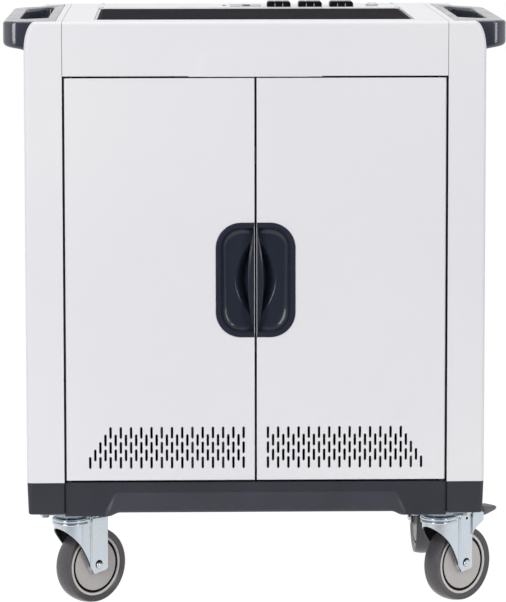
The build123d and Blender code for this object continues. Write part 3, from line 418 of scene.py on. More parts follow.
def bar(low, high):
    """A straight bar with soft edges between two corners: a rounded section carried along its longest side."""
    low, high = np.array(low, dtype=float), np.array(high, dtype=float)
    way = int(np.argmax(high - low))
    across = [axis for axis in range(3) if axis != way]
    (a0, b0), (a1, b1) = low[across], high[across]
    soft = 0.45 * min(a1 - a0, b1 - b0)
    middle = (a0, (b0 + b1) / 2)
    section = rounded([middle, (a0, b0), (a1, b0), (a1, b1), (a0, b1), middle], soft, 5)
    run = np.linspace(low[way], high[way], 9)
    grid = np.empty((len(run), len(section), 3))
    grid[..., across] = section[None]
    grid[..., way] = run[:, None]
    return capped(grid * MM)


def faces_between(ids):
    """The four-sided faces between the neighbouring numbers of a grid."""
    return np.stack([ids[:-1, :-1], ids[1:, :-1], ids[1:, 1:], ids[:-1, 1:]], axis=-1).reshape(-1, 4)


def make_mesh(name, points, faces):
    """A mesh from its points and faces."""
    mesh = bpy.data.meshes.new(name)
    mesh.from_pydata(points.tolist(), [], faces.tolist())
    return mesh


def make_piece(
    name, grids, body, slot, replaced=(), finishes=None, marks=None, sharp=35.0, closed=True, flip=False,
    wall=0.0, lining=0,
):
    """Makes one object from grids of points, points[u, v] in metres.

    Marks gives each grid's finish by number, once or for every face, and without it all take the first. A closed
    shape has its faces turned outwards once its equal points are merged. An open sheet keeps the side that its
    grids give it, or the other with flip, and wall thickens it behind that side. Lining is how many finishes
    further on the wall's inner side and edge take theirs.
    """
    points = [grid.reshape(-1, 3) for grid in grids]
    starts = np.cumsum([0] + [len(p) for p in points])
    faces, numbers = [], []
    for grid, mark, start in zip(grids, marks or [0] * len(grids), starts):
        quads = faces_between(start + np.arange(grid.shape[0] * grid.shape[1]).reshape(grid.shape[:2]))
        faces.append(quads[:, ::-1] if flip else quads)
        numbers.append(np.broadcast_to(np.ravel(mark), len(quads)).astype(np.int32))
    mesh = make_mesh(name, np.concatenate(points), np.concatenate(faces))
    mesh.polygons.foreach_set("material_index", np.concatenate(numbers))
    for made in finishes or (slot,):
        mesh.materials.append(finish(made))
    bm = bmesh.new()
    bm.from_mesh(mesh)
    bmesh.ops.remove_doubles(bm, verts=bm.verts, dist=0.002 * MM)
    bmesh.ops.dissolve_degenerate(bm, edges=bm.edges, dist=0.001 * MM)
    if closed:
        bmesh.ops.recalc_face_normals(bm, faces=bm.faces)
        if bm.calc_volume(signed=True) < 0:
            bmesh.ops.reverse_faces(bm, faces=bm.faces)
    bm.to_mesh(mesh)
    bm.free()
    mesh.shade_smooth()
    mesh.set_sharp_from_angle(angle=math.radians(sharp))
    piece = linked(name, mesh)
    if wall:
        put(
            piece.modifiers.new("Sheet", "SOLIDIFY"), thickness=wall, offset=-1.0, use_even_offset=True,
            material_offset=lining, material_offset_rim=lining,
        )
        put(
            piece.modifiers.new("Cut edge", "BEVEL"), width=min(bpy.context.scene.cart_sizes.cut_edge, wall / 4),
            segments=2, limit_method="ANGLE", angle_limit=math.radians(50),
        )
    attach(piece, body)
    if replaced:
        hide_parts(*replaced)
    return piece


# Casters


def caster_points(t, s, z, corner):
    """Points of a caster's own frame, t along its trail and s across it, in the cart's frame and in metres."""
    x, y, heading = CASTERS[corner]
    cos, sin = math.cos(math.radians(heading)), math.sin(math.radians(heading))
    return as_points(x + t * cos - s * sin, y + t * sin + s * cos, z) * MM


def about_bolt(profile, corner, turns=96, lift=0.0):
    """A profile of (radius, place along the wheel bolt), turned about the bolt: radius by cosine and sine."""
    a = circle(turns)[:, None]
    r, s = np.array(profile, dtype=float).T[:, None]
    return caster_points(TRAIL + r * np.cos(a), s, WHEEL_RADIUS + r * np.sin(a), corner) + (0, 0, lift * MM)


def about_swivel(profile, corner):
    """A profile of (radius, height), turned about the swivel axis: radius by cosine and sine."""
    a = circle(72)[:, None]
    r, z = np.array(profile, dtype=float).T[:, None]
    return caster_points(r * np.cos(a), r * np.sin(a), z, corner)


def tyre_profile(crown):
    """The tyre's section, a parabola over the tread: radius less crown times place squared; round shoulders."""
    side = 13.0
    a = np.linspace(-0.9, 0.9, 25)
    tread = as_points(WHEEL_RADIUS - crown * a ** 2, a * TREAD_HALF)
    shoulder = WHEEL_RADIUS - crown - 0.2
    lower = rounded([
        (RING_OUTER, -side), (RING_OUTER + 1.5, -side - 0.6), (shoulder, -TREAD_HALF), tread[0],
    ], (0.6, 1.5))
    return np.concatenate([lower, tread[1:-1], lower[::-1] * (1, -1), lower[:1]])


def hub_parts(groove):
    """One face of the wheel's centre as three profiles: the dished disc with its boss, the groove, the ring."""
    face, floor = 13.0, 11.2
    disc_out = RING_INNER - groove
    disc = rounded([
        (HUB_BORE, HUB_HALF), (12.6, HUB_HALF), (13.8, floor), (16.5, floor), (disc_out - 9, 12.3),
        (disc_out, 12.6), (disc_out, floor),
    ], (0.8, 1.0, 1.2, 2.0, 0.8))
    # The groove's floor takes the black, painted shade in the groove.
    cut = np.array([(disc_out, floor), (RING_INNER, floor)])
    ring = rounded([(RING_INNER, floor), (RING_INNER, face), (RING_OUTER, face), (RING_OUTER, 0.0)], (0.6, 0.8))
    return disc, cut, ring


class CART_OT_wheels(bpy.types.Operator):
    """Four wheels: a crowned grey tread, a pale ring, a groove painted black as its shade, and a dished centre"""

    bl_idname = "cart.wheels"
    bl_label = "Wheels"

    def execute(self, context):
        sizes = context.scene.cart_sizes
        for corner in CASTERS:
            wheel = f"wheel_{corner}"
            tread = about_bolt(tyre_profile(sizes.tread_crown / MM), corner)
            make_piece(f"tread_{corner}", [tread], wheel, "tyre_rubber", (f"tyre_{corner}",))
            parts = hub_parts(sizes.groove_width / MM)
            grids = [about_bolt(part * (1, side), corner) for side in (1, -1) for part in parts]
            grids.append(about_bolt([(HUB_BORE, HUB_HALF), (HUB_BORE, -HUB_HALF)], corner))
            make_piece(
                f"centre_{corner}", grids, wheel, "wheel_plastic", (f"hub_{corner}",),
                finishes=("wheel_plastic", "painted_shade_black", "wheel_ring"), marks=[0, 1, 2, 0, 1, 2, 0],
            )
        return {"FINISHED"}


def fork_plan(rear):
    """Half the fork's plan from the rear of a leg to the middle of its front, with its outward directions.

    A straight leg at FORK_HALF across that dips as a bell curve into the fold, a straight bridge from there that
    meets the crown's circle as a tangent, and the circle.
    """
    dip, dip_reach = 1.8, 2.3
    lean = math.atan2(FORK_HALF, FORK_FOLD) + math.acos(CROWN_RADIUS / math.hypot(FORK_FOLD, FORK_HALF))
    meet = CROWN_RADIUS * np.array([math.cos(lean), math.sin(lean)])
    leg = np.concatenate([
        rear - np.array([0.0, 1.0, 2.5, 4.0]), np.linspace(rear - 8.0, FORK_FOLD + 6.0, 6),
        FORK_FOLD + np.arange(5.0, -1.0, -1.0),
    ])
    leg = as_points(leg, FORK_HALF)
    share = np.array([0.05, 0.1, 0.15, 0.2, 0.26, 0.33, 0.42, 0.6, 0.85])[:, None]
    bridge = (1 - share) * (FORK_FOLD, FORK_HALF) + share * meet
    line = np.concatenate([leg, bridge])
    line[:, 1] -= dip * np.exp(-((line[:, 0] - FORK_FOLD) / dip_reach) ** 2)
    a = np.linspace(lean, np.pi, 40)[:, None]
    arc = np.concatenate([np.cos(a), np.sin(a)], axis=1)
    out = [0 * leg + (0.0, 1.0), 0 * bridge + meet / CROWN_RADIUS, arc]
    return np.concatenate([line, CROWN_RADIUS * arc]), np.concatenate(out)


def fork_edge(t, rear):
    """Height of the fork's lower edge: a circle's arc down the front, then the sloping foot, then a cut heel."""
    start, foot, bow = np.array([-CROWN_RADIUS, 129.5]), np.array([31.5, 49.5]), 5.5
    slope, heel_slope, heel = 0.18, 0.6, 4.0
    chord = foot - start
    across = np.array([-chord[1], chord[0]]) / np.linalg.norm(chord)
    radius = (chord @ chord / 4 + bow ** 2) / (2 * bow)
    centre = (start + foot) / 2 - across * (radius - bow)
    swept = centre[1] + np.sqrt(radius ** 2 - (np.clip(t, start[0], foot[0]) - centre[0]) ** 2)
    sole = foot[1] + slope * (t - foot[0]) + heel_slope * np.clip(t - rear + heel, 0, None)
    return np.where(t < foot[0], swept, sole)


def fork_surface(shoulder, rear, corner):
    """The fork's outer skin: up from its lower edge, over a quarter-round shoulder, then level to its spine."""
    plan, out = (np.concatenate([half, half[-2::-1] * (1, -1)])[:, None] for half in fork_plan(rear))
    edge = fork_edge(plan[..., 0], rear)
    wall_z = edge + (FORK_TOP - shoulder - edge) * np.linspace(0, 1, 16)[None, :]
    wall = np.broadcast_to(plan, (*wall_z.shape, 2))
    turn = np.linspace(0, np.pi / 2, 8)[None, 1:, None]
    bend = plan - out * shoulder * (1 - np.cos(turn))
    bend_z = np.broadcast_to(FORK_TOP - shoulder * (1 - np.sin(turn[..., 0])), bend.shape[:2])
    spine = as_points(np.clip(plan[..., 0], 0, None), 0.0)
    share = np.linspace(0, 1, 7)[None, 1:, None]
    crown = (1 - share) * bend[:, -1:] + share * spine
    flat = np.concatenate([wall, bend, crown], axis=1)
    z = np.concatenate([wall_z, bend_z, np.full(crown.shape[:2], FORK_TOP)], axis=1)
    return caster_points(flat[..., 0], flat[..., 1], z, corner)


def fork_ring(middle, out, tall, corner):
    """A bead round the crown: an ellipse at the height of its middle, turned about the swivel axis."""
    a = circle(24)
    return about_swivel(as_points(CROWN_RADIUS + out * np.cos(a), middle + tall * np.sin(a)), corner)


def brake_ear(side, corner):
    """A brake ear: a plate behind the leg that ends in round corners.

    Its foot rises with a power of the distance behind the leg, a little over the square root.
    """
    root, end, radius, foot, sweep = BRAKED_LEG_REAR - 2, 75.0, 4.0, 110.0, 3.2
    t = np.concatenate([np.linspace(root, end, 14), end + radius * np.sin(np.linspace(0.15, np.pi / 2, 8))])
    soft = radius - np.sqrt(np.clip(radius ** 2 - np.clip(t - end, 0, None) ** 2, 0, None))
    low = foot + sweep * np.sqrt(np.clip(t - root, 0, None)) ** 1.15 + soft
    high = FORK_TOP - 0.6 - soft
    z = low[:, None] + (high - low)[:, None] * np.linspace(0, 1, 6)[None, :]
    return caster_points(t[:, None], side * (FORK_HALF - 0.2), z, corner)


def rivet(t, z, radius, height, side, corner):
    """A domed rivet head on the fork's side: radius by the sine and height by the cosine of a quarter turn.

    Its flat back lies inside the fork's wall.
    """
    a = circle(24)[:, None]
    b = np.linspace(0, np.pi / 2, 7)
    seat, back = FORK_HALF - 0.2, FORK_HALF - 0.6
    far = np.append(radius * np.sin(b), (radius, 0.0))[None, :]
    out = np.append(seat + height * np.cos(b), (back, back))[None, :]
    return caster_points(t + far * np.cos(a), side * out, z + far * np.sin(a), corner)


class CART_OT_forks(bpy.types.Operator):
    """Four pressed forks with their double ring, and the riveted brake ears on two of them, whose two holes are
    black discs of painted shade
    """

    bl_idname = "cart.forks"
    bl_label = "Forks"

    def execute(self, context):
        sizes = context.scene.cart_sizes
        for corner in CASTERS:
            body = f"swivel_{corner}"
            rear = BRAKED_LEG_REAR if corner in BRAKED else LEG_REAR
            skin = fork_surface(sizes.fork_shoulder / MM, rear, corner)
            # The fork's inner side and cut edge take the darkened zinc, painted shade inside the fork.
            make_piece(
                f"press_{corner}", [skin], body, "zinc_steel", (f"fork_{corner}",), closed=False,
                finishes=("zinc_steel", "zinc_painted_shade"), wall=sizes.fork_sheet, lining=1,
            )
            rings = [fork_ring(142.7, 3.5, 3.2, corner), fork_ring(136.9, 2.8, 2.7, corner)]
            make_piece(f"ring_{corner}", rings, body, "zinc_steel")
            if corner not in BRAKED:
                continue
            for side, hand in ((1, "far"), (-1, "near")):
                make_piece(
                    f"ear_{hand}_{corner}", [brake_ear(side, corner)], body, "zinc_steel", closed=False,
                    flip=side < 0, wall=sizes.fork_sheet,
                )
                # The first head is a rivet; the two low ones are black discs, painted shade of holes in the ear.
                heads = [
                    rivet(PIN_RUN, PIN_Z, 3.4, 1.5, side, corner), rivet(72.0, 130.5, 2.7, 0.15, side, corner),
                    rivet(43.0, 138.0, 2.7, 0.45, side, corner),
                ]
                make_piece(
                    f"rivets_and_hole_shade_{hand}_{corner}", heads, body, "zinc_steel", finishes=("zinc_steel", "painted_shade_black"),
                    marks=[0, 1, 1],
                )
        return {"FINISHED"}


class CART_OT_wheel_bolts(bpy.types.Operator):
    """Four wheel bolts with a domed head at each side of the fork, each over a black disc of painted shade for
    its hole
    """

    bl_idname = "cart.wheel_bolts"
    bl_label = "Wheel bolts"

    def execute(self, context):
        head = rounded([
            (0.0, 25.9), (3.8, 25.8), (6.1, 23.8), (6.1, 20.0), (5.9, 20.0), (5.9, 0.0),
        ], (1.6, 1.8, 0.1, 0.1))
        bolt = np.concatenate([head, head[::-1] * (1, -1)])
        hole = np.array([(0.0, 21.62), (7.3, 21.62), (7.6, 21.3), (7.6, 20.5), (0.0, 20.5)])
        for corner in CASTERS:
            body = f"swivel_{corner}"
            shank = about_bolt(bolt, corner, 48, lift=0.8)
            make_piece(f"bolt_{corner}", [shank], body, "zinc_steel", (f"axle_{corner}",))
            # Black discs set higher than the bolt so a crescent shows above each head: painted shade of the hole.
            holes = [about_bolt(hole * (1, side), corner, 48, lift=2.4) for side in (1, -1)]
            make_piece(f"bolt_hole_shade_{corner}", holes, body, "zinc_steel", finishes=("painted_shade_black",))
        return {"FINISHED"}


class CART_OT_races(bpy.types.Operator):
    """The upper race under each mounting plate, in zinc darkened with painted shade of the base"""

    bl_idname = "cart.races"
    bl_label = "Upper races"

    def execute(self, context):
        bore, top, foot = 12.0, 156.4, 146.5
        profile = rounded([
            (bore, top), (27.3, top), (27.3, 151.5), (25.2, foot), (bore, foot), (bore, top),
        ], (0.4, 1.2, 1.0, 0.2))
        for corner in CASTERS:
            race = about_swivel(profile, corner)
            # The race takes the darker zinc, painted shade of the base above it.
            make_piece(f"race_{corner}", [race], "cabinet", "zinc_steel", finishes=("zinc_race",))
        return {"FINISHED"}


def pedal_point(run, across, rise, corner):
    """A point of the pedal, run along its arm from the pivot, in the cart's frame."""
    tilt = math.atan2(4.0, 43.0)
    t = PIN_RUN + run * math.cos(tilt) - rise * math.sin(tilt)
    return caster_points(t, across, PIN_Z + run * math.sin(tilt) + rise * math.cos(tilt), corner)


def pedal_cap(corner):
    """The tread cap: rounded sections along the arm, whose half width and height follow a superellipse.

    Each section is itself a superellipse, and three ribs raise its upper side by a raised cosine.
    """
    middle, half, half_width, half_height, wedge = 31.5, 16.5, 15.0, 6.4, 0.45
    rib_height, rib_wave = 0.35, 9.5
    u = np.sin(np.linspace(-np.pi / 2, np.pi / 2, 41))[:, None]
    a = circle(60)[None, :]
    wide = half_width * (1 - np.abs(u) ** 6) ** (1 / 6)
    thick = half_height * (1 - np.abs(u) ** 4) ** (1 / 4) * (1 - wedge * u)
    rib = rib_height * np.clip(np.cos(u * rib_wave), 0, None) ** 4 * (np.sin(a) > 0.5)
    rise = thick * power(np.sin(a), 0.7) + rib
    return pedal_point(middle + half * u, wide * power(np.cos(a), 0.35), rise, corner)


def pedal_arm(corner):
    """The arm from the pivot to under the cap: a bar whose section is a superellipse."""
    reach, half_width, half_height = 24.0, 9.5, 3.0
    run = np.linspace(0.0, reach, 5)[:, None]
    a = circle(32)[None, :]
    across, rise = half_width * power(np.cos(a), 0.4), half_height * power(np.sin(a), 0.6)
    return capped(pedal_point(run, across, rise, corner))


def pedal_tube(corner):
    """The tube round the pedal's pin: a circle carried across the fork, with its ends drawn in."""
    s = np.array([-18.1, -17.4, 17.4, 18.1])[:, None]
    r = np.array([4.8, 5.5, 5.5, 4.8])[:, None]
    a = circle(32)[None, :]
    return capped(caster_points(PIN_RUN + r * np.cos(a), s, PIN_Z + r * np.sin(a), corner))


class CART_OT_pedals(bpy.types.Operator):
    """The two brake pedals: pivot tube, arm and ribbed tread cap"""

    bl_idname = "cart.pedals"
    bl_label = "Brake pedals"

    def execute(self, context):
        for corner in BRAKED:
            grids = [pedal_cap(corner), pedal_arm(corner), pedal_tube(corner)]
            made = (f"brake_pedal_{corner}",)
            make_piece(f"tread_pedal_{corner}", grids, f"pedal_{corner}", "pedal_plastic", made)
        return {"FINISHED"}


# Door pulls and painted gap shade


def door_points(x, depth, z, side):
    """Points on a door, depth behind its face, x from the middle towards its side, in metres."""
    return as_points(side * x, FRONT_Y + depth, PULL_Z + z) * MM


def by_angle(points, angles):
    """A line round the origin, resampled at the given angles after it is divided into 4000 short steps."""
    run = along(points)
    fine = np.linspace(0, run[-1], 4000)
    x, y = (np.interp(fine, run, points[:, axis]) for axis in (0, 1))
    far = np.interp(angles, np.unwrap(np.arctan2(y, x)), np.hypot(x, y), period=2 * np.pi)
    return as_points(far * np.cos(angles), far * np.sin(angles))


def pull_ring(inset, angles):
    """The pull's rounded outline, drawn in by inset."""
    half_width, half_height, corner_radius = 61.8, 92.3, 40.8
    x, z, radius = half_width - inset, half_height - inset, corner_radius - inset
    return by_angle(rounded([(1e-6, -z), (x, -z), (x, z), (1e-6, z)], radius, 24), angles)


def lens_ring(x, z, angles):
    """Half a lens: its width falls with the square of the height."""
    h = np.linspace(-1, 1, 81)
    return by_angle(as_points(x * (1 - h ** 2) + 1e-6, z * h), angles)


def pull_cup(bowl, pocket, side):
    """The pull's rim and cup as rings drawn together, each at its own depth.

    The rim stands proud and is flat. The bowl's rings run from the rim's outline to a lens, over a power of the
    share, and their depth falls fast at first and then levels out. From that lens the pocket drops to a narrower
    one, and its floor closes on the edge.
    """
    angles = np.linspace(-np.pi / 2, np.pi / 2, 121)
    edge, lip = 0.35, 1.6
    rim = np.array([
        (0.0, 0.0), (0.25, -0.9), (0.9, -1.4), (1.6, -PULL_PROUD), (7.0, -PULL_PROUD), (7.8, -1.3), (8.3, -0.6),
        (8.8, 0.8),
    ])
    outline = np.array([pull_ring(inset, angles) for inset in rim[:, 0]])
    start = pull_ring(9.2, angles)
    lens, floor = lens_ring(32.0, LENS_HALF, angles), lens_ring(15.0, FLOOR_HALF, angles)
    fall, drop = np.linspace(0, 1, 26), np.linspace(0.03, 1, 22)
    blend, sink = fall[:, None, None] ** 1.5, drop[:, None, None]
    flat = np.concatenate([
        outline, (1 - blend) * start + blend * lens, (1 - sink) * lens + sink * floor, [floor * (0.0, 1.0)],
    ])
    depth = np.concatenate([
        rim[:, 1], lip + (bowl - lip) * (1 - (1 - fall) ** 3.2), bowl + (pocket - bowl) * drop ** 1.6,
        [pocket + edge],
    ])[:, None]
    return door_points(DOOR_INNER + edge + flat[..., 0], depth, flat[..., 1], side)


def pull_wall(bowl, pocket, side):
    """The wall along the meeting edge: an upright strip with a round top, as deep as the cup is there."""
    z = np.linspace(-PULL_HALF, PULL_HALF, 61)[:, None]
    places = (0, FLOOR_HALF, LENS_HALF, 81.5, PULL_HALF)
    deep = np.interp(np.abs(z), places, (pocket + 1, pocket + 1, bowl + 1, 2.5, 1.2))
    x0, x1, top = DOOR_INNER + 0.05, DOOR_INNER + 2.2, -1.3
    line = rounded([(x0, 1.0), (x0, top), (x1, top), (x1, 1.0)], 0.3)
    x = np.concatenate([[x0], line[:, 0], [x1], [x0]])[None, :]
    depth = np.concatenate([deep, line[None, :, 1] + 0 * z, deep, deep], axis=1)
    return capped(door_points(x, depth, z, side))


def pull_grip(width, side):
    """Half the grip: a rounded section carried along the meeting edge, whose width follows a lens.

    The section is a blend of a flatter one at the bottom and one whose front leans back at the top, and it gets
    shallower as it narrows.
    """
    half, back = 79.0, 7.4
    bottom, top = (rounded([
        (0.0, 4.0), (0.0, -1.2), (width * 0.45, -1.1), (width, outer), (width, 6.4), (width * 0.5, back),
        (0.0, back), (0.0, 4.0),
    ], (0.3, 2.0, 1.6, 2.0, 1.5, 1.0)) for outer in (-0.7, 1.1))
    z = half * np.sin(np.linspace(-np.pi / 2, np.pi / 2, 61))[:, None]
    up = (z / half + 1) / 2
    lens = np.clip(1 - (z / (half + 0.4)) ** 2, 0, None) ** 0.85
    x = ((1 - up) * bottom[:, 0] + up * top[:, 0]) * lens
    depth = ((1 - up) * bottom[:, 1] + up * top[:, 1]) * (0.55 + 0.45 * lens) - 0.5 * (1 - lens)
    return capped(door_points(DOOR_INNER + 0.6 + x, np.clip(depth, -1.4, None), z, side))


class CART_OT_pulls(bpy.types.Operator):
    """Half of the glossy pull on each front door: rim, bowl, pocket, edge wall and grip"""

    bl_idname = "cart.pulls"
    bl_label = "Door pulls"

    def execute(self, context):
        sizes = context.scene.cart_sizes
        bowl, pocket = sizes.bowl_depth / MM, sizes.pocket_depth / MM
        x = DOOR_INNER + 0.02
        for side, hand in HANDS:
            body = f"door_front_{hand}"
            make_piece(
                f"cup_{hand}", [pull_cup(bowl, pocket, side)], body, "gloss_plastic", (f"front_pull_{hand}",),
                closed=False, flip=side > 0, wall=2.0 * MM,
            )
            lip = bar((x, FRONT_Y - 1.49, PULL_Z - PULL_HALF), (x + 0.55, FRONT_Y + 2.0, PULL_Z + PULL_HALF))
            grids = [pull_wall(bowl, pocket, side), pull_grip(sizes.grip_width / MM, side), lip * (side, 1, 1)]
            make_piece(
                f"grip_{hand}", grids, body, "gloss_plastic", finishes=("gloss_plastic", "white_enamel"),
                marks=[0, 0, 1],
            )
        return {"FINISHED"}


class CART_OT_painted_gaps(bpy.types.Operator):
    """Black lips in the gaps round the front doors, painted shade of the gaps"""

    bl_idname = "cart.seals"
    bl_label = "Painted gap shade"

    def execute(self, context):
        # The lips are black sheets in the door gaps, painted shade of the gaps.
        lip = context.scene.cart_sizes.shade_lip / MM
        over, pull, x0, x1 = 0.3, 92, DOOR_INNER, DOOR_OUTER
        y0, y1, y2 = FRONT_Y - 0.06, FRONT_Y + 0.94, DOOR_BACK - 1.0
        inside, low, high = y0 + 0.5, DOOR_BOTTOM + 3, DOOR_TOP - 3
        door_gap_shade = [bar(*ends) for ends in (
            ((x0 - lip, y0, DOOR_BOTTOM + 1), (x0 + over, y1, PULL_Z - pull)),
            ((x0 - lip, y0, PULL_Z + pull), (x0 + over, y1, DOOR_TOP)),
            ((x0 - lip, inside, low), (x0, y2, PULL_Z - pull - 1)),
            ((x0 - lip, inside, PULL_Z + pull + 1), (x0, y2, high)),
            ((x1, y0 + 2.2, low), (x1 + lip, y2, high)),
            ((x0 - lip, y0, DOOR_TOP - over), (x1, y1, DOOR_TOP + lip)),
            ((x0 + 2, inside, DOOR_TOP), (x1 - 12, y2, DOOR_TOP + lip)),
        )]
        frame_lips = [
            bar((SEAM_X - lip, FRONT_Y + 3, DOOR_BOTTOM - 3), (SEAM_X, FRONT_Y + 24, DOOR_TOP + 2)),
            bar((0.05, FRONT_Y + 0.6, APRON_FOOT - lip), (305.0, FRONT_Y + 16.0, APRON_FOOT + 0.6)),
        ]
        for side, hand in HANDS:
            for name, lips, body in (
                ("door_gap_shade", door_gap_shade, f"door_front_{hand}"), ("frame_gap_shade", frame_lips, "cabinet"),
            ):
                grids = [grid * (side, 1, 1) for grid in lips]
                make_piece(f"{name}_{hand}", grids, body, "tyre_rubber", finishes=("painted_gap_shade",))
        return {"FINISHED"}


# Handles


def drawn_in(points, inset):
    """A convex outline with every side moved inwards by inset.

    Each corner moves along the sum of its two sides' inward normals, divided by one plus their product.
    """
    p = np.array(points, dtype=float)
    side = np.roll(p, -1, axis=0) - p
    normal = np.stack([-side[:, 1], side[:, 0]], axis=-1) / np.linalg.norm(side, axis=1, keepdims=True)
    before = np.roll(normal, 1, axis=0)
    return p + inset * (before + normal) / (1 + (before * normal).sum(axis=1, keepdims=True))


def round_loop(points, radii):
    """A closed outline with round corners: an arc's reach is its radius times the tangent of half the turn."""
    p = np.array(points, dtype=float)
    back, on = p - np.roll(p, 1, axis=0), np.roll(p, -1, axis=0) - p
    turn = np.arccos((back * on).sum(axis=1) / np.linalg.norm(back, axis=1) / np.linalg.norm(on, axis=1))
    seam = (p[-1] + p[0]) / 2
    return rounded(np.concatenate([[seam], p, [seam]]), np.clip(radii, 0.3, None) * np.tan(turn / 2), 12)


def handle_under(x):
    """Height of the handle's underside: a short step off the panel, then a slope out to the rim."""
    panel_z, step, step_run, slope, slope_run = 906.0, 3.3, 4.0, 4.0, 26.0
    out = x - BODY_HALF
    return panel_z + step * np.clip(out / step_run, 0, 1) + slope * np.clip((out - step_run) / slope_run, 0, 1.2)


def handle_surface(foot, side):
    """The handle as rings round its middle: pocket floor and wall, flat rim, side, rounded foot, underside."""
    outer = round_loop(HANDLE_PLAN, HANDLE_RADII) - HANDLE_MIDDLE
    run = along(outer)
    even = np.unique(np.concatenate([run, np.linspace(0, run[-1], 150)]))
    x, y = (np.interp(even, run, outer[:, axis]) for axis in (0, 1))
    angles = np.unwrap(np.arctan2(y, x))

    def loops(plan, radii, insets):
        """The plan's rounded outline, drawn in by each inset."""
        return np.array([
            by_angle(round_loop(drawn_in(plan, inset), radii - inset) - HANDLE_MIDDLE, angles) + HANDLE_MIDDLE
            for inset in insets
        ])

    pocket = np.array([
        (9.0, 914.2), (6.5, 914.2), (3.4, 915.2), (2.4, 917.5), (0.6, 948.0), (0.1, 951.6), (-0.5, 953.2),
        (-1.8, 953.95),
    ])
    rim = np.array([(5.2, BODY_TOP), (3.0, 953.75), (1.4, 952.9), (0.4, 951.5), (0.0, HANDLE_EDGE)])
    walls, edges = loops(MOUTH_PLAN, MOUTH_RADII, pocket[:, 0]), loops(HANDLE_PLAN, HANDLE_RADII, rim[:, 0])
    low = handle_under(edges[-1, :, 0])
    down = np.array([0.25, 0.5, 0.75])[:, None]
    a = np.linspace(0, np.pi / 2, 8)[:, None]
    bend = loops(HANDLE_PLAN, HANDLE_RADII, foot * (1 - np.cos(a[:, 0])))
    share = np.linspace(0, 1, 12)[1:, None, None]
    under = (1 - share) * bend[-1] + share * HANDLE_MIDDLE
    flat = np.concatenate([
        0 * walls[:1] + HANDLE_MIDDLE, walls, edges, np.repeat(edges[-1:], len(down), axis=0), bend, under,
    ])
    level = np.concatenate([pocket[:1, 1], pocket[:, 1], rim[:, 1]])[:, None]
    z = np.concatenate([
        level + 0 * low, (1 - down) * HANDLE_EDGE + down * (low + foot), low + foot * (1 - np.sin(a)),
        handle_under(under[..., 0]),
    ])
    return as_points(side * flat[..., 0], flat[..., 1], z) * MM


class CART_OT_handles(bpy.types.Operator):
    """The two moulded side handles with their finger pockets"""

    bl_idname = "cart.handles"
    bl_label = "Handles"

    def execute(self, context):
        foot = context.scene.cart_sizes.handle_foot / MM
        for side, hand in HANDS:
            make_piece(
                f"grab_{hand}", [handle_surface(foot, side)], "cabinet", "dark_plastic", (f"handle_{hand}",),
                finishes=("handle_plastic",),
            )
        return {"FINISHED"}


# Base


def plinth_foot(x, drop):
    """Height of the plinth's lower edge: low at its ends, and drop higher between them past a smooth step."""
    step_x, step_run = 237.0, 19.0
    return PLINTH_FOOT - drop * (1 - eased((step_x - np.abs(x)) / step_run))


def facet_height(x, z):
    """How proud the facet stands: it grows in a straight line downwards and falls off at its slanted ends."""
    proud, tall, half_top, slant, fall = 3.0, 30.0, 227.0, 14.0, 5.0
    down = np.clip((FACET_TOP - z) / tall, 0, 1)
    reach = half_top + slant * down
    return proud * down * np.clip((reach - np.abs(x)) / fall, 0, 1) * (z < FACET_TOP)


def plinth_surface(drop):
    """The front plinth and its faces' finishes: a closed section carried from left to right over plinth_foot.

    Down the face the section stands off by facet_height; then it turns under, up its back and over its ledge.
    """
    near = np.linspace(212.0, 246.0, 24)
    x = np.unique(np.concatenate([np.linspace(-306.2, 306.2, 49), near, -near]))[:, None]

    def rows(base, *places):
        """Rows of the section, from their places behind the face and their heights over base."""
        places = np.array(places)
        return PLINTH_FACE + places[:, 0] + 0 * x, base + places[:, 1] + 0 * x

    foot = plinth_foot(x, drop)
    start = 213.8
    z = start + (foot + 1.4 - start) * np.linspace(0, 1, 34)[None, :]
    y = PLINTH_FACE - facet_height(x, z) * eased((z - foot) / 3.5)
    parts = [
        rows(0.0, (PLINTH_DEPTH, BASE_TOP), (1.2, BASE_TOP), (0.35, 214.7)), (y, z),
        rows(foot, (0.4, 0.4), (1.4, 0.0), (3.0, 0.0)),
        rows(0.0, (3.0, PLINTH_LEDGE), (PLINTH_DEPTH, PLINTH_LEDGE), (PLINTH_DEPTH, BASE_TOP)),
    ]
    y, z = (np.concatenate(part, axis=1) for part in zip(*parts))
    grid = as_points(x, y, z)
    middle = (grid[1:, 1:] + grid[:-1, :-1]) / 2
    on_facet = (facet_height(middle[..., 0], middle[..., 2]) > 0.05) & (middle[..., 1] < PLINTH_FACE + 0.1)
    return capped(grid * MM), np.pad(on_facet, ((1, 1), (0, 0)))


def cap_surface(side):
    """An end cap: a leaning wall with a round foot, carried round the front, side and rear of the base."""
    path = rounded([(SEAM_X, FRONT_Y), (BODY_HALF, FRONT_Y), (BODY_HALF, REAR_Y), (SEAM_X, REAR_Y)], 9.0, 12)
    way = np.gradient(path, axis=0)
    out = as_points(way[:, 1], -way[:, 0]) / np.linalg.norm(way, axis=1, keepdims=True)
    wall = 5.2
    section = rounded([
        (3.0, BASE_TOP), (0.0, BASE_TOP), (0.25, 210.0), (2.0, CAP_FOOT), (wall, CAP_FOOT), (wall, BASE_TOP),
        (3.0, BASE_TOP),
    ], (0.6, 1.0, 2.9, 0.3, 0.3))
    flat = path[:, None] - out[:, None] * section[None, :, :1]
    return capped(as_points(side * flat[..., 0], flat[..., 1], section[:, 1]) * MM)


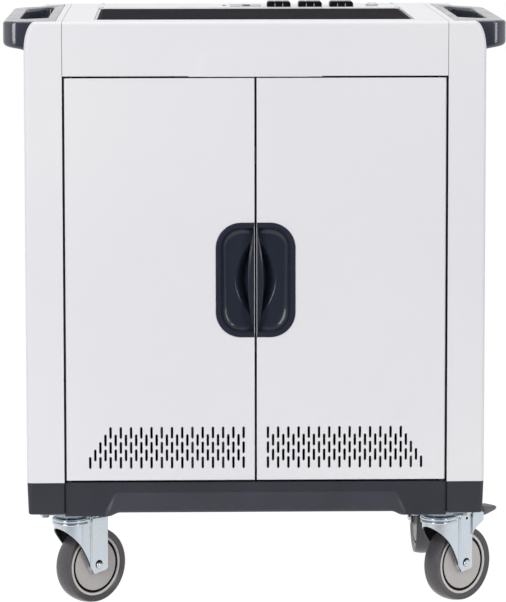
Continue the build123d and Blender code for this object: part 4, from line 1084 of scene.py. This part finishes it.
class CART_OT_base(bpy.types.Operator):
    """The front plinth with its facet, the end caps, and black strips of painted shade in the seams between the
    legs and the front
    """

    bl_idname = "cart.base"
    bl_label = "Base"

    def execute(self, context):
        grid, marks = plinth_surface(context.scene.cart_sizes.foot_drop / MM)
        # The facet takes the lighter plastic, painted light where it tilts up.
        make_piece(
            "skirt_front", [grid], "cabinet", "dark_plastic", ("plinth_front",),
            finishes=("dark_plastic", "plinth_facet"), marks=[marks], sharp=60.0,
        )
        # Black strips in the seams beside the legs: painted shade of the seams.
        joints = [
            bar((SEAM_X - 1.1, -300.3, 166.0), (SEAM_X + 0.3, -296.0, 214.4)),
            bar((SEAM_X - 0.7, -299.7, 870.0), (SEAM_X - 0.1, -292.0, 930.0)),
        ]
        for side, hand in HANDS:
            make_piece(f"skirt_{hand}", [cap_surface(side)], "cabinet", "dark_plastic", (f"end_cap_{hand}",))
            grids = [grid * (side, 1, 1) for grid in joints]
            make_piece(f"joint_{hand}", grids, "cabinet", "dark_plastic", finishes=("painted_gap_shade",))
        return {"FINISHED"}


# Apron and console


def boss_surface(proud):
    """The apron's pressed boss, a flat swelling that eases to nothing beyond its slanted outline.

    Its foot turns in under the apron.
    """
    side_ease, top_ease, top, half_foot, slant, slant_rise = 16.0, 15.0, 897.0, 88.0, 13.0, 30.0
    x = np.linspace(-106.0, 106.0, 107)[:, None]
    z = np.concatenate([[866.8, 867.3, 868.2], np.linspace(870.0, 914.0, 34)])[None, :]
    half = half_foot - slant * np.clip((z - APRON_FOOT) / slant_rise, 0, 1)
    height = proud * eased((half + side_ease - np.abs(x)) / side_ease) * eased((top + top_ease - z) / top_ease)
    turned_in, turning = z < 867.1, z < 868.0
    height = height * np.where(turned_in, 0.0, np.where(turning, 0.7, 1.0)) + np.where(turned_in, -0.6, 0.02)
    return as_points(x, FRONT_Y - height, z) * MM


class CART_OT_apron(bpy.types.Operator):
    """The soft boss pressed into the apron"""

    bl_idname = "cart.apron"
    bl_label = "Apron boss"

    def execute(self, context):
        boss = boss_surface(context.scene.cart_sizes.boss_proud / MM)
        make_piece("apron_boss", [boss], "cabinet", "white_enamel", closed=False, sharp=80.0, wall=1.0 * MM)
        return {"FINISHED"}


class CART_OT_console(bpy.types.Operator):
    """Pale ribs let into the raised outlets, painted highlights at their gaps, and the control module's dark
    window
    """

    bl_idname = "cart.console"
    bl_label = "Outlet highlight ribs and window"

    def execute(self, context):
        low, high = (np.array(corner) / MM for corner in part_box("outlet_blocks"))
        width, pitch = 40.0, 53.6
        middle = (low[0] + high[0]) / 2
        places = [middle + block * pitch + half * width / 6 for block in (-1, 0, 1) for half in (-1, 1)]
        front, foot, top = low[1], BODY_TOP + 0.6, high[2] - 3.6
        # Pale grey ribs on the black outlets: painted highlights along the gaps between each outlet's parts.
        ribs = [bar((x - 0.6, front - 0.3, foot), (x + 0.6, front + 6.0, top)) for x in places]
        make_piece("outlet_highlight_ribs", ribs, "cabinet", "grey_plastic")
        low, high = (np.array(corner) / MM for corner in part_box("control_module"))
        start = low[0] + 0.4 * (high[0] - low[0])
        window = bar((start, low[1] + 6.0, high[2] - 1.0), (start + 13.0, low[1] + 34.0, high[2] + 0.9))
        make_piece("module_window", [window], "cabinet", "black_plastic")
        return {"FINISHED"}


# Stage


WHITE = (1.0, 1.0, 1.0, 1.0)


class CART_OT_stage(bpy.types.Operator):
    """Pale floor, white surround, soft lamps and the camera"""

    bl_idname = "cart.stage"
    bl_label = "Stage"

    def execute(self, context):
        scene = context.scene
        scene.view_settings.view_transform = "Standard"
        make_world(scene)
        make_floor()
        make_lamps()
        make_camera(scene)
        return {"FINISHED"}


def make_world(scene):
    """White where it is seen, an even soft fill elsewhere; mirrored, white behind the cart and dim in front."""
    scene.world = bpy.data.worlds.new("Soft surround")
    tree = blank_tree(scene.world)
    way = add(tree, "ShaderNodeTexCoord")
    parts = add(tree, "ShaderNodeSeparateXYZ", {0: way.outputs["Generated"]})
    level = add(tree, "ShaderNodeMapRange", {"Value": parts.outputs["Y"]}, {
        "From Min": -0.92, "From Max": -0.1, "To Min": 0.06, "To Max": 1.0,
    }, interpolation_type="SMOOTHSTEP")
    path = add(tree, "ShaderNodeLightPath")
    seen = add(tree, "ShaderNodeMath", {
        0: path.outputs["Is Camera Ray"], 1: path.outputs["Is Transmission Ray"],
    }, operation="MAXIMUM")
    fill = add(tree, "ShaderNodeBackground", None, {"Color": WHITE, "Strength": 0.54})
    white = add(tree, "ShaderNodeBackground", None, {"Color": WHITE, "Strength": 1.0})
    mirrored = add(tree, "ShaderNodeBackground", {"Strength": level.outputs[0]}, {"Color": WHITE})
    first = add(tree, "ShaderNodeMixShader", {
        0: path.outputs["Is Glossy Ray"], 1: fill.outputs[0], 2: mirrored.outputs[0],
    })
    second = add(tree, "ShaderNodeMixShader", {0: seen.outputs[0], 1: first.outputs[0], 2: white.outputs[0]})
    add(tree, "ShaderNodeOutputWorld", {"Surface": second.outputs[0]})


def make_floor():
    """A floor round the cart, white to the camera but for the cart's soft shadow."""
    x, y = np.meshgrid(np.linspace(-1.2, 1.2, 5), np.linspace(-1.0, 1.4, 5), indexing="ij")
    quads = faces_between(np.arange(x.size).reshape(x.shape))
    mesh = make_mesh("floor", as_points(x, y, 0.0).reshape(-1, 3), quads)
    material = bpy.data.materials.new("Painted studio floor")
    tree = blank_tree(material)
    paint = add(tree, "ShaderNodeBsdfPrincipled", None, {
        "Base Color": rgba(linear("#f4f4f5")), "Roughness": 0.9, "Specular IOR Level": 0.0,
    })
    path = add(tree, "ShaderNodeLightPath")
    glossy_or_clear = add(tree, "ShaderNodeMath", {
        0: path.outputs["Is Glossy Ray"], 1: path.outputs["Is Transmission Ray"],
    }, operation="MAXIMUM")
    seen = add(tree, "ShaderNodeMath", {
        0: path.outputs["Is Camera Ray"], 1: glossy_or_clear.outputs[0],
    }, operation="MAXIMUM")
    share = add(tree, "ShaderNodeMath", {0: seen.outputs[0]}, {1: 0.95}, operation="MULTIPLY")
    glow = add(tree, "ShaderNodeEmission", None, {"Color": WHITE, "Strength": 1.05})
    both = add(tree, "ShaderNodeMixShader", {0: share.outputs[0], 1: paint.outputs[0], 2: glow.outputs[0]})
    add(tree, "ShaderNodeOutputMaterial", {"Surface": both.outputs[0]})
    mesh.materials.append(material)
    floor = linked("floor", mesh)


def lamp(name, place, target, size, wattage):
    """A rectangular softbox at place that faces target."""
    data = bpy.data.lights.new(name, "AREA")
    put(data, shape="RECTANGLE", size=size[0], size_y=size[1], energy=wattage)
    turn = (Vector(target) - Vector(place)).to_track_quat("-Z", "Y")
    put(linked(name, data), location=place, rotation_euler=turn.to_euler())


def make_lamps():
    """Two tall softboxes in front, one overhead, and two small high ones that light the pulls' corners."""
    middle = (0.0, 0.0, 0.5)
    lamp("Softbox left", (-2.3, -3.2, 1.4), middle, (1.1, 2.0), 50.0)
    lamp("Softbox right", (2.6, -3.0, 1.3), middle, (0.6, 2.0), 27.0)
    lamp("Softbox above", (0.0, 0.5, 3.2), (0.0, 0.0, 0.6), (2.0, 1.4), 27.0)
    for x in (-1.5, 1.5):
        lamp("Softbox high", (x, -2.2, 2.1), middle, (0.35, 0.35), 5.0)


def make_camera(scene):
    """A long lens at the photograph's height and heading, fitted to points of the cart in it."""
    data = bpy.data.cameras.new("Camera")
    put(data, lens=214.96, sensor_width=36.0, shift_x=-0.0027, shift_y=-0.09, clip_end=200.0)
    pitch, yaw, roll = 0.1164, -0.0225, -0.001
    turn = Matrix.Rotation(yaw, 4, "Z") @ Matrix.Rotation(math.pi / 2 - pitch, 4, "X")
    turn = turn @ Matrix.Rotation(roll, 4, "Z")
    scene.camera = linked("Camera", data)
    put(scene.camera, location=(-0.12958, -5.9881, 1.26069), rotation_euler=turn.to_euler())


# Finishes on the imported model


class CART_OT_finishes(bpy.types.Operator):
    """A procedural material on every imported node"""

    bl_idname = "cart.finishes"
    bl_label = "Finishes"

    def execute(self, context):
        for node in NODES.values():
            for holder in node.material_slots:
                slot = "button_plastic" if node.name == "power_button" else holder.material.name
                holder.material = finish(slot)
        return {"FINISHED"}


OPERATORS = (
    CART_OT_stage, CART_OT_finishes, CART_OT_wheels, CART_OT_forks, CART_OT_wheel_bolts, CART_OT_races,
    CART_OT_pedals, CART_OT_pulls, CART_OT_painted_gaps, CART_OT_handles, CART_OT_base, CART_OT_apron, CART_OT_console,
)


class CART_PT_panel(bpy.types.Panel):
    """Lists the cart's colours, sizes and pieces"""

    bl_idname = "CART_PT_panel"
    bl_label = "Charging cart"
    bl_space_type = "VIEW_3D"
    bl_region_type = "UI"
    bl_category = "Cart"

    def draw(self, context):
        layout = self.layout
        for group in (context.scene.cart_sizes, context.scene.cart_colours):
            box = layout.box()
            for key in group.__annotations__:
                box.prop(group, key)
        for operator in OPERATORS:
            layout.operator(operator.bl_idname)


CLASSES = (CartColours, CartSizes, *OPERATORS, CART_PT_panel)


def register():
    for kind in CLASSES:
        bpy.utils.register_class(kind)
    bpy.types.Scene.cart_colours = PointerProperty(type=CartColours)
    bpy.types.Scene.cart_sizes = PointerProperty(type=CartSizes)


def unregister():
    del bpy.types.Scene.cart_sizes
    del bpy.types.Scene.cart_colours
    for kind in reversed(CLASSES):
        bpy.utils.unregister_class(kind)


def main():
    register()
    for operator in OPERATORS:
        group, name = operator.bl_idname.split(".")
        getattr(getattr(bpy.ops, group), name)()


if __name__ == "__main__":
    main()
